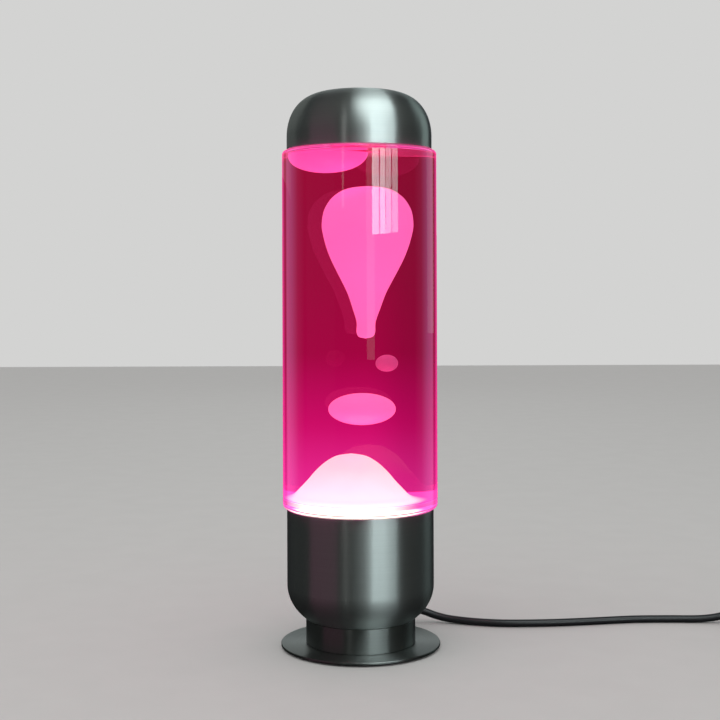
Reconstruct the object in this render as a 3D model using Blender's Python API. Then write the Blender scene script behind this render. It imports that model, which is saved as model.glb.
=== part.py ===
"""Lava lamp: a glass cylinder of liquid and wax on an aluminium base, under an aluminium cap.

A reflector bulb in the base heats it. Metres, +Z up. The origin is the centre of the underside,
on the table. The cord leaves the back and lies to +X.
"""

import math

import bmesh
import bpy
from mathutils import Matrix, Vector

# Clearance between pieces that touch
GAP = 0.0003

# Foot
PAD_RADIUS = 0.0470
PAD_THICKNESS = 0.0010
PAD_BORE_RADIUS = 0.0120
FOOT_RADIUS = 0.0514
FOOT_THICKNESS = 0.0016
FOOT_HOLE_RADIUS = 0.0060
COLLAR_RADIUS = 0.0353
COLLAR_WALL = 0.0012
COLLAR_HEIGHT = 0.0156

# Base housing: a straight side above a rounded underside
BASE_RADIUS = 0.0474
BASE_WALL = 0.0012
BASE_HEIGHT = 0.0704
BASE_ROUND_HEIGHT = 0.0296
BASE_ROUND_POWER = 2.5
INNER_PLATE_THICKNESS = 0.0012

# Ring that carries the bottle inside the top of the housing
SEAT_BORE_RADIUS = 0.0360
SEAT_THICKNESS = 0.0012
SEAT_SKIRT = 0.0110
GASKET_THICKNESS = 0.0024
GASKET_WIDTH = 0.0070

# Screws through foot, housing and inner plate
TIE_SCREW_COUNT = 3
TIE_SCREW_RADIUS = 0.0020
TIE_SCREW_HEAD_RADIUS = 0.0036
NUT_FLATS_RADIUS = 0.0035
NUT_HEIGHT = 0.0030
NUT_CLEARANCE = 0.00146
HOLE_CLEARANCE = 0.0004
PLATE_RIM = 0.0060

# Lampholder and bulb
HOLDER_WALL = 0.0046
HOLDER_BELOW_PLATE = 0.0115
HOLDER_ABOVE_PLATE = 0.0175
HOLDER_FLANGE_THICKNESS = 0.0022
HOLDER_FLOOR = 0.0060
HOLDER_SCREW_RADIUS = 0.0012
HOLDER_SCREW_HEAD_RADIUS = 0.0023
HOLDER_SCREW_STEP = 0.0029
FLANGE_RIM = 0.0028
PLATE_HOLE_CLEARANCE = 0.0010
SHELL_WALL = 0.0004
SHELL_LIFT = 0.0032
THREAD_PLAY = 0.0006
SPRING_RADIUS = 0.0042
SPRING_HEIGHT = 0.0034
BULB_CAP_RADIUS = 0.0069
BULB_CAP_HEIGHT = 0.0170
BULB_THREAD_DEPTH = 0.0005
BULB_THREAD_TURNS = 4
BULB_RADIUS = 0.0195
BULB_LENGTH = 0.0650
BULB_WALL = 0.0008
NECK_STEP = 0.0007
CONTACT_RADIUS = 0.0024
CAP_LIP = 0.0022

# Bottle
GLASS_RADIUS = 0.0500
GLASS_WALL = 0.0025
GLASS_FLOOR = 0.0035
GLASS_HEIGHT = 0.2302
GLASS_CORNER = 0.0030
NECK_RADIUS = 0.0160
NECK_WALL = 0.0035
NECK_HEIGHT = 0.0190
CROWN_WALL = 0.0006
CROWN_HEIGHT = 0.0075
LINER_THICKNESS = 0.0009
LIQUID_IN_NECK = 0.0080

# Wax, as heights above the inside floor of the bottle
MOUND_HEIGHT = 0.0326
MOUND_LEAN = -0.0042
MOUND_SHEET_RADIUS = 0.0440
MOUND_LEAN_FADE = 0.0120
LENS_HEIGHT = 0.0607
LENS_HALF = (0.0160, 0.0101)
LENS_X = 0.0010
DROPLET_HEIGHT = 0.0897
DROPLET_RADIUS = 0.0054
DROPLET_X = 0.0128
BALLOON_FOOT_HEIGHT = 0.1055
BALLOON_LENGTH = 0.0968
BALLOON_RADIUS = 0.02246
BALLOON_X = 0.0040
TOP_BLOB_DEPTH = 0.0128
TOP_BLOB_RADIUS = 0.0196
TOP_BLOB_X = -0.0152
PASSAGE_RADIUS = 0.0007

# Wire coil that lies in the wax and spreads the heat
HEATER_RING_RADIUS = 0.0160
HEATER_TURN_RADIUS = 0.0021
HEATER_WIRE_RADIUS = 0.0005
HEATER_TURNS = 18

# Cap
CAP_RADIUS = 0.0469
CAP_WALL = 0.0012
CAP_SKIRT = 0.0087
CAP_DOME_HEIGHT = 0.0296
CAP_DOME_POWER = 4.0
CAP_RING_WIDTH = 0.0050
CAP_RING_HEIGHT = 0.0060

# Cord and what is on it
CORD_RADIUS = 0.0025
CORD_EXIT_ANGLE = 62.0
CORD_EXIT_HEIGHT = 0.0105
GLAND_RADIUS = 0.0040
GLAND_FLANGE_RADIUS = 0.0056
GLAND_FLANGE = 0.0016
GLAND_NOSE = 0.0200
GLAND_TIP_RADIUS = 0.0033
COIL_CENTRE = (0.3052, -0.0010)
COIL_RADII = (0.0189, 0.0395)
COIL_HEIGHT = 0.0098
CONNECTOR_SIZE = (0.0160, 0.0100, 0.0112)
CONNECTOR_REACH = 0.0212
LEAD_RADIUS = 0.0009
TIE_THICKNESS = 0.0008
TIE_WIDTH = 0.0120
TIE_ANGLE = 118.0
SWITCH_CENTRE = (0.2920, 0.0530)
SWITCH_SIZE = (0.0600, 0.0230, 0.0145)
SWITCH_WALL = 0.0016
SWITCH_SPLIT = 0.0068
SWITCH_END_LENGTH = 0.0200
SWITCH_SCREW_RADIUS = 0.0012
SWITCH_SCREW_REACH = 0.0235
TERMINAL_SIZE = (0.0060, 0.0090)
TERMINAL_REACH = 0.0138
ROCKER_SIZE = (0.0150, 0.0090, 0.0062)
ROCKER_PLAY = 0.0008
ROCKER_TOP = 0.0031
ROCKER_AXIS_DEPTH = 0.0022
PLUG_THICKNESS = 0.0137
PLUG_WIDTH = 0.0352
PLUG_LENGTH = 0.0440
PIN_RADIUS = 0.0020
PIN_LENGTH = 0.0190
PIN_SPACING = 0.0186
PIN_ROOT = 0.0060
PIN_SLEEVE = 0.0100
PLUG_REAR = (0.0120, -0.0200)

AROUND = 36
WAX_AROUND = 20

# Pieces that fit round each other, worked out outwards from the bulb's cap
BULB_NECK_RADIUS = BULB_CAP_RADIUS - NECK_STEP
HOLDER_BORE_RADIUS = BULB_CAP_RADIUS + THREAD_PLAY + SHELL_WALL + GAP
HOLDER_RADIUS = HOLDER_BORE_RADIUS + HOLDER_WALL
HOLDER_SCREW_CIRCLE = HOLDER_RADIUS + HOLDER_SCREW_STEP
HOLDER_FLANGE_RADIUS = HOLDER_SCREW_CIRCLE + FLANGE_RIM
NUT_CORNER_RADIUS = NUT_FLATS_RADIUS / math.cos(math.pi / 6)
TIE_SCREW_CIRCLE = HOLDER_FLANGE_RADIUS + NUT_CORNER_RADIUS + NUT_CLEARANCE
INNER_PLATE_RADIUS = TIE_SCREW_CIRCLE + PLATE_RIM

# Levels, worked out upwards from the table
FOOT_Z = PAD_THICKNESS + GAP
COLLAR_Z = FOOT_Z + FOOT_THICKNESS + GAP
BASE_Z = COLLAR_Z + COLLAR_HEIGHT + GAP
BASE_TOP_Z = BASE_Z + BASE_HEIGHT
INNER_PLATE_Z = BASE_Z + BASE_WALL + GAP
HOLDER_Z = INNER_PLATE_Z + INNER_PLATE_THICKNESS + GAP
GLASS_Z = BASE_TOP_Z + GAP
SEAT_Z = GLASS_Z - GAP - GASKET_THICKNESS - GAP - SEAT_THICKNESS
WAX_Z = GLASS_Z + GLASS_FLOOR + GAP
GLASS_TOP_Z = GLASS_Z + GLASS_HEIGHT
LIQUID_TOP_Z = GLASS_TOP_Z - GLASS_WALL - GAP
CAP_Z = GLASS_TOP_Z + GAP
BULB_TIP_Z = HOLDER_Z - HOLDER_BELOW_PLATE + HOLDER_FLOOR + SPRING_HEIGHT


def clear_scene():
    for obj in list(bpy.data.objects):
        bpy.data.objects.remove(obj, do_unlink=True)


def material(name, colour, metallic, roughness, alpha=1.0, glow=0.0):
    made = bpy.data.materials.new(name)
    made.use_nodes = True
    made.diffuse_color = (*colour, alpha)
    shader = made.node_tree.nodes["Principled BSDF"]
    shader.inputs["Base Color"].default_value = (*colour, 1.0)
    shader.inputs["Metallic"].default_value = metallic
    shader.inputs["Roughness"].default_value = roughness
    shader.inputs["Alpha"].default_value = alpha
    shader.inputs["Emission Color"].default_value = (*colour, 1.0)
    shader.inputs["Emission Strength"].default_value = glow
    return made


def make_materials():
    return {
        "spun_aluminium": material("spun_aluminium", (0.56, 0.57, 0.56), 1.0, 0.32),
        "rubber": material("rubber", (0.03, 0.03, 0.03), 0.0, 0.8),
        "zinc_steel": material("zinc_steel", (0.55, 0.55, 0.53), 1.0, 0.35),
        "glass": material("glass", (0.9, 0.9, 0.92), 0.0, 0.02, alpha=0.3),
        "bulb_glass": material("bulb_glass", (0.95, 0.9, 0.8), 0.0, 0.2, glow=1.0),
        "liquid": material("liquid", (0.55, 0.01, 0.10), 0.0, 0.05, alpha=0.6),
        "wax": material("wax", (0.95, 0.15, 0.40), 0.0, 0.4, glow=0.6),
        "brass": material("brass", (0.72, 0.55, 0.25), 1.0, 0.3),
        "phenolic": material("phenolic", (0.02, 0.02, 0.02), 0.0, 0.35),
        "white_plastic": material("white_plastic", (0.8, 0.8, 0.78), 0.0, 0.4),
        "black_pvc": material("black_pvc", (0.02, 0.02, 0.022), 0.0, 0.45),
        "tungsten": material("tungsten", (0.5, 0.48, 0.45), 1.0, 0.3, glow=2.0),
        "crown_steel": material("crown_steel", (0.75, 0.72, 0.6), 1.0, 0.3),
    }


def add_object(name, mesh, surface, parent, location=(0, 0, 0), turn=0.0):
    obj = bpy.data.objects.new(name, mesh)
    bpy.context.scene.collection.objects.link(obj)
    obj.data.materials.append(surface)
    obj.parent = parent
    obj.location = location
    obj.rotation_euler = (0, 0, math.radians(turn))
    return obj


def add_empty(name, location=(0, 0, 0), parent=None):
    empty = bpy.data.objects.new(name, None)
    bpy.context.scene.collection.objects.link(empty)
    empty.location = location
    empty.parent = parent
    return empty


def finish_mesh(name, bm, smooth=True):
    bmesh.ops.remove_doubles(bm, verts=bm.verts, dist=1e-7)
    bmesh.ops.recalc_face_normals(bm, faces=bm.faces)
    for face in bm.faces:
        face.smooth = smooth
    mesh = bpy.data.meshes.new(name)
    bm.to_mesh(mesh)
    bm.free()
    mesh.set_sharp_from_angle(angle=math.radians(35))
    return mesh


def arc(centre, radii, start, end, steps):
    """Points of an ellipse's arc in (radius, height), angles in degrees."""
    points = []
    for i in range(steps + 1):
        angle = math.radians(start + (end - start) * i / steps)
        points.append((centre[0] + radii[0] * math.cos(angle), centre[1] + radii[1] * math.sin(angle)))
    return points


def turned_mesh(name, outline, around=AROUND, lean=None):
    """Turns an outline of (radius, height) points round Z. It is closed, or starts and ends on the axis."""
    bm = bmesh.new()
    verts = [bm.verts.new((r, 0, z)) for r, z in outline]
    pairs = list(zip(verts, verts[1:]))
    if outline[0][0] > 0 or outline[-1][0] > 0:
        pairs.append((verts[-1], verts[0]))
    edges = [bm.edges.new(pair) for pair in pairs]
    bmesh.ops.spin(
        bm,
        geom=verts + edges,
        cent=(0, 0, 0),
        axis=(0, 0, 1),
        angle=2 * math.pi,
        steps=around,
        use_merge=True,
    )
    if lean:
        for vert in bm.verts:
            vert.co.x += lean(math.hypot(vert.co.x, vert.co.y))
    return finish_mesh(name, bm)


def turned(name, outline, surface, parent, location=(0, 0, 0), around=AROUND, lean=None):
    return add_object(name, turned_mesh(name, outline, around, lean), surface, parent, location)


def rings_section(inner, outer, low, high):
    return [(inner, low), (outer, low), (outer, high), (inner, high)]


def oblong(length, width):
    return [
        (-length / 2, -width / 2),
        (length / 2, -width / 2),
        (length / 2, width / 2),
        (-length / 2, width / 2),
    ]


def slab_mesh(name, outline, low, high, bevel=0.0):
    """A flat solid with this outline in X and Y, its long edges rounded."""
    bm = bmesh.new()
    face = bm.faces.new([bm.verts.new((x, y, low)) for x, y in outline])
    made = bmesh.ops.extrude_face_region(bm, geom=[face])
    risen = [item for item in made["geom"] if isinstance(item, bmesh.types.BMVert)]
    bmesh.ops.translate(bm, verts=risen, vec=(0, 0, high - low))
    bmesh.ops.recalc_face_normals(bm, faces=bm.faces)
    if bevel:
        flat = [e for e in bm.edges if abs(e.verts[0].co.z - e.verts[1].co.z) < 1e-9]
        bmesh.ops.bevel(bm, geom=flat, offset=bevel, segments=2, profile=0.5, affect="EDGES")
    return finish_mesh(name, bm)


def cut(obj, cutter):
    """Takes the cutter out of the object with a Boolean, and leaves the cutter out of the model."""
    cutter.hide_render = True
    cutter.display_type = "WIRE"
    modifier = obj.modifiers.new("cut_" + cutter.name, "BOOLEAN")
    modifier.operation = "DIFFERENCE"
    modifier.solver = "EXACT"
    modifier.object = cutter


def rod_cutter(name, radius, start, end, parent, around=16):
    """A round cutter between two points."""
    start, end = Vector(start), Vector(end)
    bm = bmesh.new()
    bmesh.ops.create_cone(
        bm, cap_ends=True, segments=around, radius1=radius, radius2=radius, depth=(end - start).length
    )
    turn = (end - start).to_track_quat("Z", "Y").to_matrix().to_4x4()
    bmesh.ops.transform(bm, matrix=Matrix.Translation((start + end) / 2) @ turn, verts=bm.verts)
    return add_object(name, finish_mesh(name, bm), bpy.data.materials["rubber"], parent)


def smooth_line(points, step):
    """A Catmull-Rom line through the points, with a point about every step."""
    points = [Vector(p) for p in points]
    line = [points[0]]
    ends = [points[0] * 2 - points[1], *points, points[-1] * 2 - points[-2]]
    for a, b, c, d in zip(ends, ends[1:], ends[2:], ends[3:]):
        count = max(1, round((c - b).length / step))
        bend = 2 * a - 5 * b + 4 * c - d
        twist = 3 * b - a - 3 * c + d
        for i in range(1, count + 1):
            t = i / count
            line.append(0.5 * (2 * b + (c - a) * t + bend * t**2 + twist * t**3))
    return line


def tube(name, line, radius, surface, parent, resolution=2):
    """A round tube along the line, closed at both ends."""
    curve = bpy.data.curves.new(name, "CURVE")
    curve.dimensions = "3D"
    curve.bevel_depth = radius
    curve.bevel_resolution = resolution
    curve.use_fill_caps = True
    spline = curve.splines.new("POLY")
    spline.points.add(len(line) - 1)
    for point, place in zip(spline.points, line):
        point.co = (*place, 1.0)
    return add_object(name, curve, surface, parent)


def dome_height(radius, full_radius, height, power):
    """Height over its rim of a rounded end: the rim is at full_radius, and the crown is height above it."""
    return height * math.sqrt(max(0.0, 1 - (radius / full_radius) ** power))


def dome_radius(rise, full_radius, height, power):
    return full_radius * (1 - (rise / height) ** 2) ** (1 / power)


def dome_points(full_radius, height, power, last_radius, steps):
    """Points from the rim to last_radius, closer together where the end curves most."""
    last = math.acos(min(1.0, dome_height(last_radius, full_radius, height, power) / height))
    points = []
    for i in range(steps + 1):
        angle = math.pi / 2 + (last - math.pi / 2) * i / steps
        rise = height * math.cos(angle)
        points.append((dome_radius(rise, full_radius, height, power), rise))
    points[-1] = (last_radius, dome_height(last_radius, full_radius, height, power))
    return points


def tie_screw_places():
    for i in range(TIE_SCREW_COUNT):
        angle = math.radians(CORD_EXIT_ANGLE + 180 * (2 * i + 1) / TIE_SCREW_COUNT)
        yield TIE_SCREW_CIRCLE * math.cos(angle), TIE_SCREW_CIRCLE * math.sin(angle)


def cut_screw_holes(obj, parent):
    for i, (x, y) in enumerate(tie_screw_places()):
        name = f"{obj.name}_hole_{i + 1}"
        radius = TIE_SCREW_RADIUS + HOLE_CLEARANCE
        cut(obj, rod_cutter(name, radius, (x, y, -0.01), (x, y, BASE_TOP_Z), parent))


def make_foot(mats, root):
    rim = 0.0004
    section = rings_section(PAD_BORE_RADIUS, PAD_RADIUS, 0, PAD_THICKNESS)
    pad = turned("foot_pad", section, mats["rubber"], root)
    for i, (x, y) in enumerate(tie_screw_places()):
        radius = TIE_SCREW_HEAD_RADIUS + HOLE_CLEARANCE
        cut(pad, rod_cutter(f"pad_hole_{i + 1}", radius, (x, y, -0.01), (x, y, 0.01), root))
    plate = turned(
        "foot_plate",
        [
            (FOOT_HOLE_RADIUS, FOOT_Z),
            (FOOT_RADIUS - rim, FOOT_Z),
            (FOOT_RADIUS, FOOT_Z + rim),
            (FOOT_RADIUS, FOOT_Z + FOOT_THICKNESS - rim),
            (FOOT_RADIUS - rim, FOOT_Z + FOOT_THICKNESS),
            (FOOT_HOLE_RADIUS, FOOT_Z + FOOT_THICKNESS),
        ],
        mats["spun_aluminium"],
        root,
    )
    cut_screw_holes(plate, root)
    collar = turned(
        "foot_collar",
        [
            (COLLAR_RADIUS - COLLAR_WALL, COLLAR_Z),
            (COLLAR_RADIUS, COLLAR_Z),
            (COLLAR_RADIUS, COLLAR_Z + COLLAR_HEIGHT - rim),
            (COLLAR_RADIUS - rim, COLLAR_Z + COLLAR_HEIGHT),
            (COLLAR_RADIUS - COLLAR_WALL, COLLAR_Z + COLLAR_HEIGHT),
        ],
        mats["spun_aluminium"],
        root,
    )
    inside, outside = exit_point(COLLAR_RADIUS - 0.0100), exit_point(COLLAR_RADIUS + 0.0100)
    cut(collar, rod_cutter("gland_hole", GLAND_RADIUS + GAP, inside, outside, root, around=24))


def holder_screw_cutter(name, side, parent):
    x = side * HOLDER_SCREW_CIRCLE
    radius = HOLDER_SCREW_RADIUS + HOLE_CLEARANCE
    return rod_cutter(name, radius, (x, 0, 0), (x, 0, BASE_TOP_Z), parent, around=12)


def make_housing(mats, root):
    inside = BASE_RADIUS - BASE_WALL
    lift = dome_height(COLLAR_RADIUS, BASE_RADIUS, BASE_ROUND_HEIGHT, BASE_ROUND_POWER)
    side_z = BASE_Z + lift
    outer = dome_points(BASE_RADIUS, BASE_ROUND_HEIGHT, BASE_ROUND_POWER, COLLAR_RADIUS, 8)
    inner_round = BASE_ROUND_HEIGHT - BASE_WALL
    floor_radius = dome_radius(lift - BASE_WALL, inside, inner_round, BASE_ROUND_POWER)
    inner = dome_points(inside, inner_round, BASE_ROUND_POWER, floor_radius, 5)
    hole = HOLDER_RADIUS + PLATE_HOLE_CLEARANCE
    outline = [(BASE_RADIUS, BASE_TOP_Z)]
    outline += [(r, side_z - rise) for r, rise in outer]
    outline += [(hole, BASE_Z), (hole, BASE_Z + BASE_WALL)]
    outline += [(r, side_z - rise) for r, rise in reversed(inner)]
    outline += [(inside, BASE_TOP_Z)]
    housing = turned("base_housing", outline, mats["spun_aluminium"], root)
    cut_screw_holes(housing, root)
    plate = turned(
        "inner_plate",
        rings_section(hole, INNER_PLATE_RADIUS, INNER_PLATE_Z, INNER_PLATE_Z + INNER_PLATE_THICKNESS),
        mats["zinc_steel"],
        root,
    )
    cut_screw_holes(plate, root)
    for i, side in enumerate((-1, 1)):
        cut(plate, holder_screw_cutter(f"plate_pilot_{i + 1}", side, root))


def make_seat(mats, root):
    outside = BASE_RADIUS - BASE_WALL - GAP
    top = SEAT_Z + SEAT_THICKNESS
    turned(
        "bottle_seat",
        [
            (SEAT_BORE_RADIUS, SEAT_Z),
            (outside - SEAT_THICKNESS, SEAT_Z),
            (outside - SEAT_THICKNESS, top - SEAT_SKIRT),
            (outside, top - SEAT_SKIRT),
            (outside, top),
            (SEAT_BORE_RADIUS, top),
        ],
        mats["spun_aluminium"],
        root,
    )
    low = top + GAP
    turned(
        "seat_gasket",
        rings_section(outside - GASKET_WIDTH, outside - GAP, low, low + GASKET_THICKNESS),
        mats["rubber"],
        root,
    )


def make_tie_screws(mats, root):
    nut_z = INNER_PLATE_Z + INNER_PLATE_THICKNESS + GAP
    tip = nut_z + NUT_HEIGHT + 0.0010
    head_low = FOOT_Z - GAP - 0.0008
    for i, (x, y) in enumerate(tie_screw_places()):
        outline = [
            (0, head_low),
            (TIE_SCREW_HEAD_RADIUS, head_low),
            (TIE_SCREW_HEAD_RADIUS, FOOT_Z - GAP),
            (TIE_SCREW_RADIUS, FOOT_Z - GAP),
            (TIE_SCREW_RADIUS, tip - 0.0005),
            (TIE_SCREW_RADIUS - 0.0005, tip),
            (0, tip),
        ]
        turned(f"tie_screw_{i + 1}", outline, mats["zinc_steel"], root, (x, y, 0), around=16)
        bore = TIE_SCREW_RADIUS + GAP
        section = rings_section(bore, NUT_CORNER_RADIUS, nut_z, nut_z + NUT_HEIGHT)
        nut = turned(f"tie_nut_{i + 1}", section, mats["zinc_steel"], root, (x, y, 0), around=12)
        for vert in nut.data.vertices:
            if math.hypot(vert.co.x, vert.co.y) > bore + 1e-5:
                angle = math.atan2(vert.co.y, vert.co.x)
                to_flat = (angle + math.pi / 6) % (math.pi / 3) - math.pi / 6
                reach = NUT_FLATS_RADIUS / math.cos(to_flat)
                vert.co.x, vert.co.y = reach * math.cos(angle), reach * math.sin(angle)


def make_lampholder(mats, root):
    low = HOLDER_Z - HOLDER_BELOW_PLATE
    high = HOLDER_Z + HOLDER_ABOVE_PLATE
    flange_top = HOLDER_Z + HOLDER_FLANGE_THICKNESS
    holder = turned(
        "lampholder",
        [
            (0, low),
            (HOLDER_RADIUS - 0.0010, low),
            (HOLDER_RADIUS, low + 0.0010),
            (HOLDER_RADIUS, HOLDER_Z),
            (HOLDER_FLANGE_RADIUS, HOLDER_Z),
            (HOLDER_FLANGE_RADIUS, flange_top),
            (HOLDER_RADIUS, flange_top),
            (HOLDER_RADIUS - 0.0008, high),
            (HOLDER_BORE_RADIUS, high),
            (HOLDER_BORE_RADIUS, low + HOLDER_FLOOR),
            (0, low + HOLDER_FLOOR),
        ],
        mats["phenolic"],
        root,
        around=32,
    )
    shell_out = HOLDER_BORE_RADIUS - GAP
    turned(
        "lampholder_shell",
        rings_section(shell_out - SHELL_WALL, shell_out, low + HOLDER_FLOOR + SHELL_LIFT, high - 0.0020),
        mats["brass"],
        root,
        around=32,
    )
    turned(
        "lampholder_contact",
        [
            (0, low + HOLDER_FLOOR + GAP),
            (SPRING_RADIUS, low + HOLDER_FLOOR + GAP),
            (SPRING_RADIUS, low + HOLDER_FLOOR + 0.0008),
            (0.0018, low + HOLDER_FLOOR + 0.0020),
            (0, BULB_TIP_Z - GAP),
        ],
        mats["brass"],
        root,
        around=16,
    )
    for i, side in enumerate((-1, 1)):
        x = side * HOLDER_SCREW_CIRCLE
        head_z = flange_top + GAP
        cut(holder, holder_screw_cutter(f"flange_hole_{i + 1}", side, root))
        outline = [
            (0, INNER_PLATE_Z),
            (HOLDER_SCREW_RADIUS, INNER_PLATE_Z),
            (HOLDER_SCREW_RADIUS, head_z),
            (HOLDER_SCREW_HEAD_RADIUS, head_z),
            (HOLDER_SCREW_HEAD_RADIUS, head_z + 0.0008),
            (0.0015, head_z + 0.0015),
            (0, head_z + 0.0015),
        ]
        turned(f"holder_screw_{i + 1}", outline, mats["zinc_steel"], root, (x, 0, 0), around=12)


def make_bulb(mats, parent):
    cap_low = BULB_TIP_Z + CAP_LIP
    cap_high = cap_low + BULB_CAP_HEIGHT
    steps = BULB_THREAD_TURNS * 2
    thread = []
    for i in range(steps + 1):
        wave = i % 2
        height = cap_low + 0.0020 + (BULB_CAP_HEIGHT - 0.0040) * i / steps
        thread.append((BULB_CAP_RADIUS - BULB_THREAD_DEPTH * wave, height))
    wall = 0.0003
    neck_low = cap_high - 0.0040
    outline = [(CONTACT_RADIUS + 0.0014, cap_low), (BULB_CAP_RADIUS - 0.0012, cap_low)]
    outline += thread
    outline += [
        (BULB_CAP_RADIUS - 0.0002, cap_high),
        (BULB_NECK_RADIUS + GAP / 3, cap_high),
        (BULB_NECK_RADIUS + GAP / 3, neck_low - GAP),
        (BULB_CAP_RADIUS - BULB_THREAD_DEPTH - wall * 3, neck_low - 0.0015),
        (BULB_CAP_RADIUS - BULB_THREAD_DEPTH - wall * 3, cap_low + 0.0012),
        (CONTACT_RADIUS + 0.0014, cap_low + 0.0012),
    ]
    turned("bulb_cap", outline, mats["brass"], parent, around=24)
    turned(
        "bulb_contact",
        [
            (0, BULB_TIP_Z),
            (CONTACT_RADIUS * 0.7, BULB_TIP_Z + 0.0003),
            (CONTACT_RADIUS, BULB_TIP_Z + 0.0012),
            (CONTACT_RADIUS + 0.0010, cap_low + 0.0002),
            (CONTACT_RADIUS + 0.0010, cap_low + 0.0012),
            (0, cap_low + 0.0012),
        ],
        mats["phenolic"],
        parent,
        around=16,
    )
    top = BULB_TIP_Z + BULB_LENGTH
    face = 0.0030
    shoulder = 0.0060
    wide_z = top - face - shoulder
    outer = [
        (BULB_NECK_RADIUS, neck_low),
        (BULB_NECK_RADIUS, cap_high + 0.0010),
        (BULB_NECK_RADIUS + 0.0018, cap_high + 0.0045),
        (BULB_NECK_RADIUS + 0.0060, cap_high + 0.0130),
        (BULB_NECK_RADIUS + 0.0105, wide_z - 0.0070),
        (BULB_RADIUS - 0.0008, wide_z - 0.0020),
        (BULB_RADIUS, wide_z + 0.0020),
    ]
    outer += arc((BULB_RADIUS - shoulder, top - face - 0.0030), (shoulder, 0.0050), 0, 75, 3)
    outer += [(BULB_RADIUS * 0.35, top - 0.0002), (0, top)]
    inner = [(0, top - BULB_WALL)]
    for r, z in reversed(outer[:-1]):
        inner.append((max(0.0, r - BULB_WALL), z - BULB_WALL * (z > wide_z + 0.0030)))
    turned("bulb_envelope", outer + inner, mats["bulb_glass"], parent, around=24)
    stem_top = cap_high + 0.0120
    turned(
        "bulb_stem",
        [
            (0, neck_low + 0.0002),
            (BULB_NECK_RADIUS - BULB_WALL - GAP, neck_low + 0.0002),
            (0.0022, cap_high),
            (0.0014, stem_top),
            (0, stem_top),
        ],
        mats["bulb_glass"],
        parent,
        around=16,
    )
    span = 0.0070
    z = stem_top + 0.0028
    posts = [
        (-span, 0, z + 0.0050),
        (-span * 0.6, 0, z),
        (0, 0, z - 0.0014),
        (span * 0.6, 0, z),
        (span, 0, z + 0.0050),
    ]
    tube("bulb_filament", smooth_line(posts, 0.0016), 0.0004, mats["tungsten"], parent)


def glass_outline():
    """The bottle's section from its outside foot up to the lip and back down the inside."""
    c = GLASS_CORNER
    fillet = 0.0020
    inner_c = GLASS_CORNER - 0.0010
    neck_top = GLASS_HEIGHT + NECK_HEIGHT
    bore = NECK_RADIUS - NECK_WALL
    inside = GLASS_RADIUS - GLASS_WALL
    outline = [(0, 0.0012), (GLASS_RADIUS * 0.55, 0.0012), (GLASS_RADIUS * 0.72, 0)]
    outline += arc((GLASS_RADIUS - c, c), (c, c), -90, 0, 3)
    outline += arc((GLASS_RADIUS - c, GLASS_HEIGHT - c), (c, c), 0, 90, 3)
    outline += arc((NECK_RADIUS + fillet, GLASS_HEIGHT + fillet), (fillet, fillet), 270, 180, 2)
    outline += [
        (NECK_RADIUS, neck_top - 0.0060),
        (NECK_RADIUS + 0.0010, neck_top - 0.0050),
        (NECK_RADIUS + 0.0010, neck_top - 0.0010),
        (NECK_RADIUS, neck_top),
        (bore, neck_top),
        (bore, GLASS_HEIGHT - GLASS_WALL),
    ]
    outline += arc((inside - inner_c, GLASS_HEIGHT - GLASS_WALL - inner_c), (inner_c, inner_c), 90, 0, 2)
    outline += arc((inside - inner_c, GLASS_FLOOR + inner_c), (inner_c, inner_c), 0, -90, 2)
    outline += [(0, GLASS_FLOOR)]
    return outline


def mound_outline(grow=0.0):
    """Half-section of the wax on the floor: a thin sheet out to the wall, and a hill in the middle."""
    inside = GLASS_RADIUS - GLASS_WALL - GAP + grow * 6
    h = MOUND_HEIGHT
    corner = GLASS_CORNER - 0.0010
    outline = [(0, -grow * 4), (inside - corner, -grow * 4), (inside, corner - grow * 4)]
    outline += [
        (inside, 0.0026 + grow),
        (0.0360 + grow, 0.0027 + grow),
        (0.0305 + grow, 0.0034 + grow),
        (0.0272 + grow, 0.0052 + grow),
        (0.0242 + grow, 0.0094 + grow),
        (0.0204 + grow, 0.0152 + grow),
        (0.0176 + grow, 0.0199 + grow),
        (0.0142 + grow, 0.0246 + grow),
        (0.0108 + grow, 0.0282 + grow),
        (0.0066 + grow, 0.0311 + grow),
        (0, h + grow),
    ]
    return outline


def mound_lean(radius):
    """The hill stands off the bottle's axis, and the sheet round it stays in line with the wall."""
    share = min(1.0, max(0.0, (MOUND_SHEET_RADIUS - radius) / MOUND_LEAN_FADE))
    return MOUND_LEAN * share * share * (3 - 2 * share)


def lens_outline(grow=0.0):
    half = (LENS_HALF[0] + grow, LENS_HALF[1] + grow)
    return [(max(0.0, r), z) for r, z in arc((0, LENS_HEIGHT), half, -90, 90, 8)]


def droplet_outline(grow=0.0):
    half = DROPLET_RADIUS + grow
    return [(max(0.0, r), z) for r, z in arc((0, DROPLET_HEIGHT), (half, half), -90, 90, 8)]


def balloon_outline(grow=0.0):
    """A round head that draws down into a blunt stem, as shares of its length and widest radius."""
    shares = (
        (0.000, 0.00),
        (0.012, 0.15),
        (0.045, 0.20),
        (0.110, 0.202),
        (0.200, 0.305),
        (0.290, 0.405),
        (0.370, 0.535),
        (0.450, 0.675),
        (0.530, 0.805),
        (0.610, 0.905),
        (0.690, 0.975),
        (0.750, 1.00),
        (0.830, 0.965),
        (0.890, 0.87),
        (0.935, 0.74),
        (0.970, 0.56),
        (0.990, 0.34),
        (1.000, 0.00),
    )
    outline = []
    for up, out in shares:
        z = BALLOON_FOOT_HEIGHT - grow + (BALLOON_LENGTH + 2 * grow) * up
        outline.append((out * BALLOON_RADIUS + (grow if out else 0.0), z))
    return outline


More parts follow.
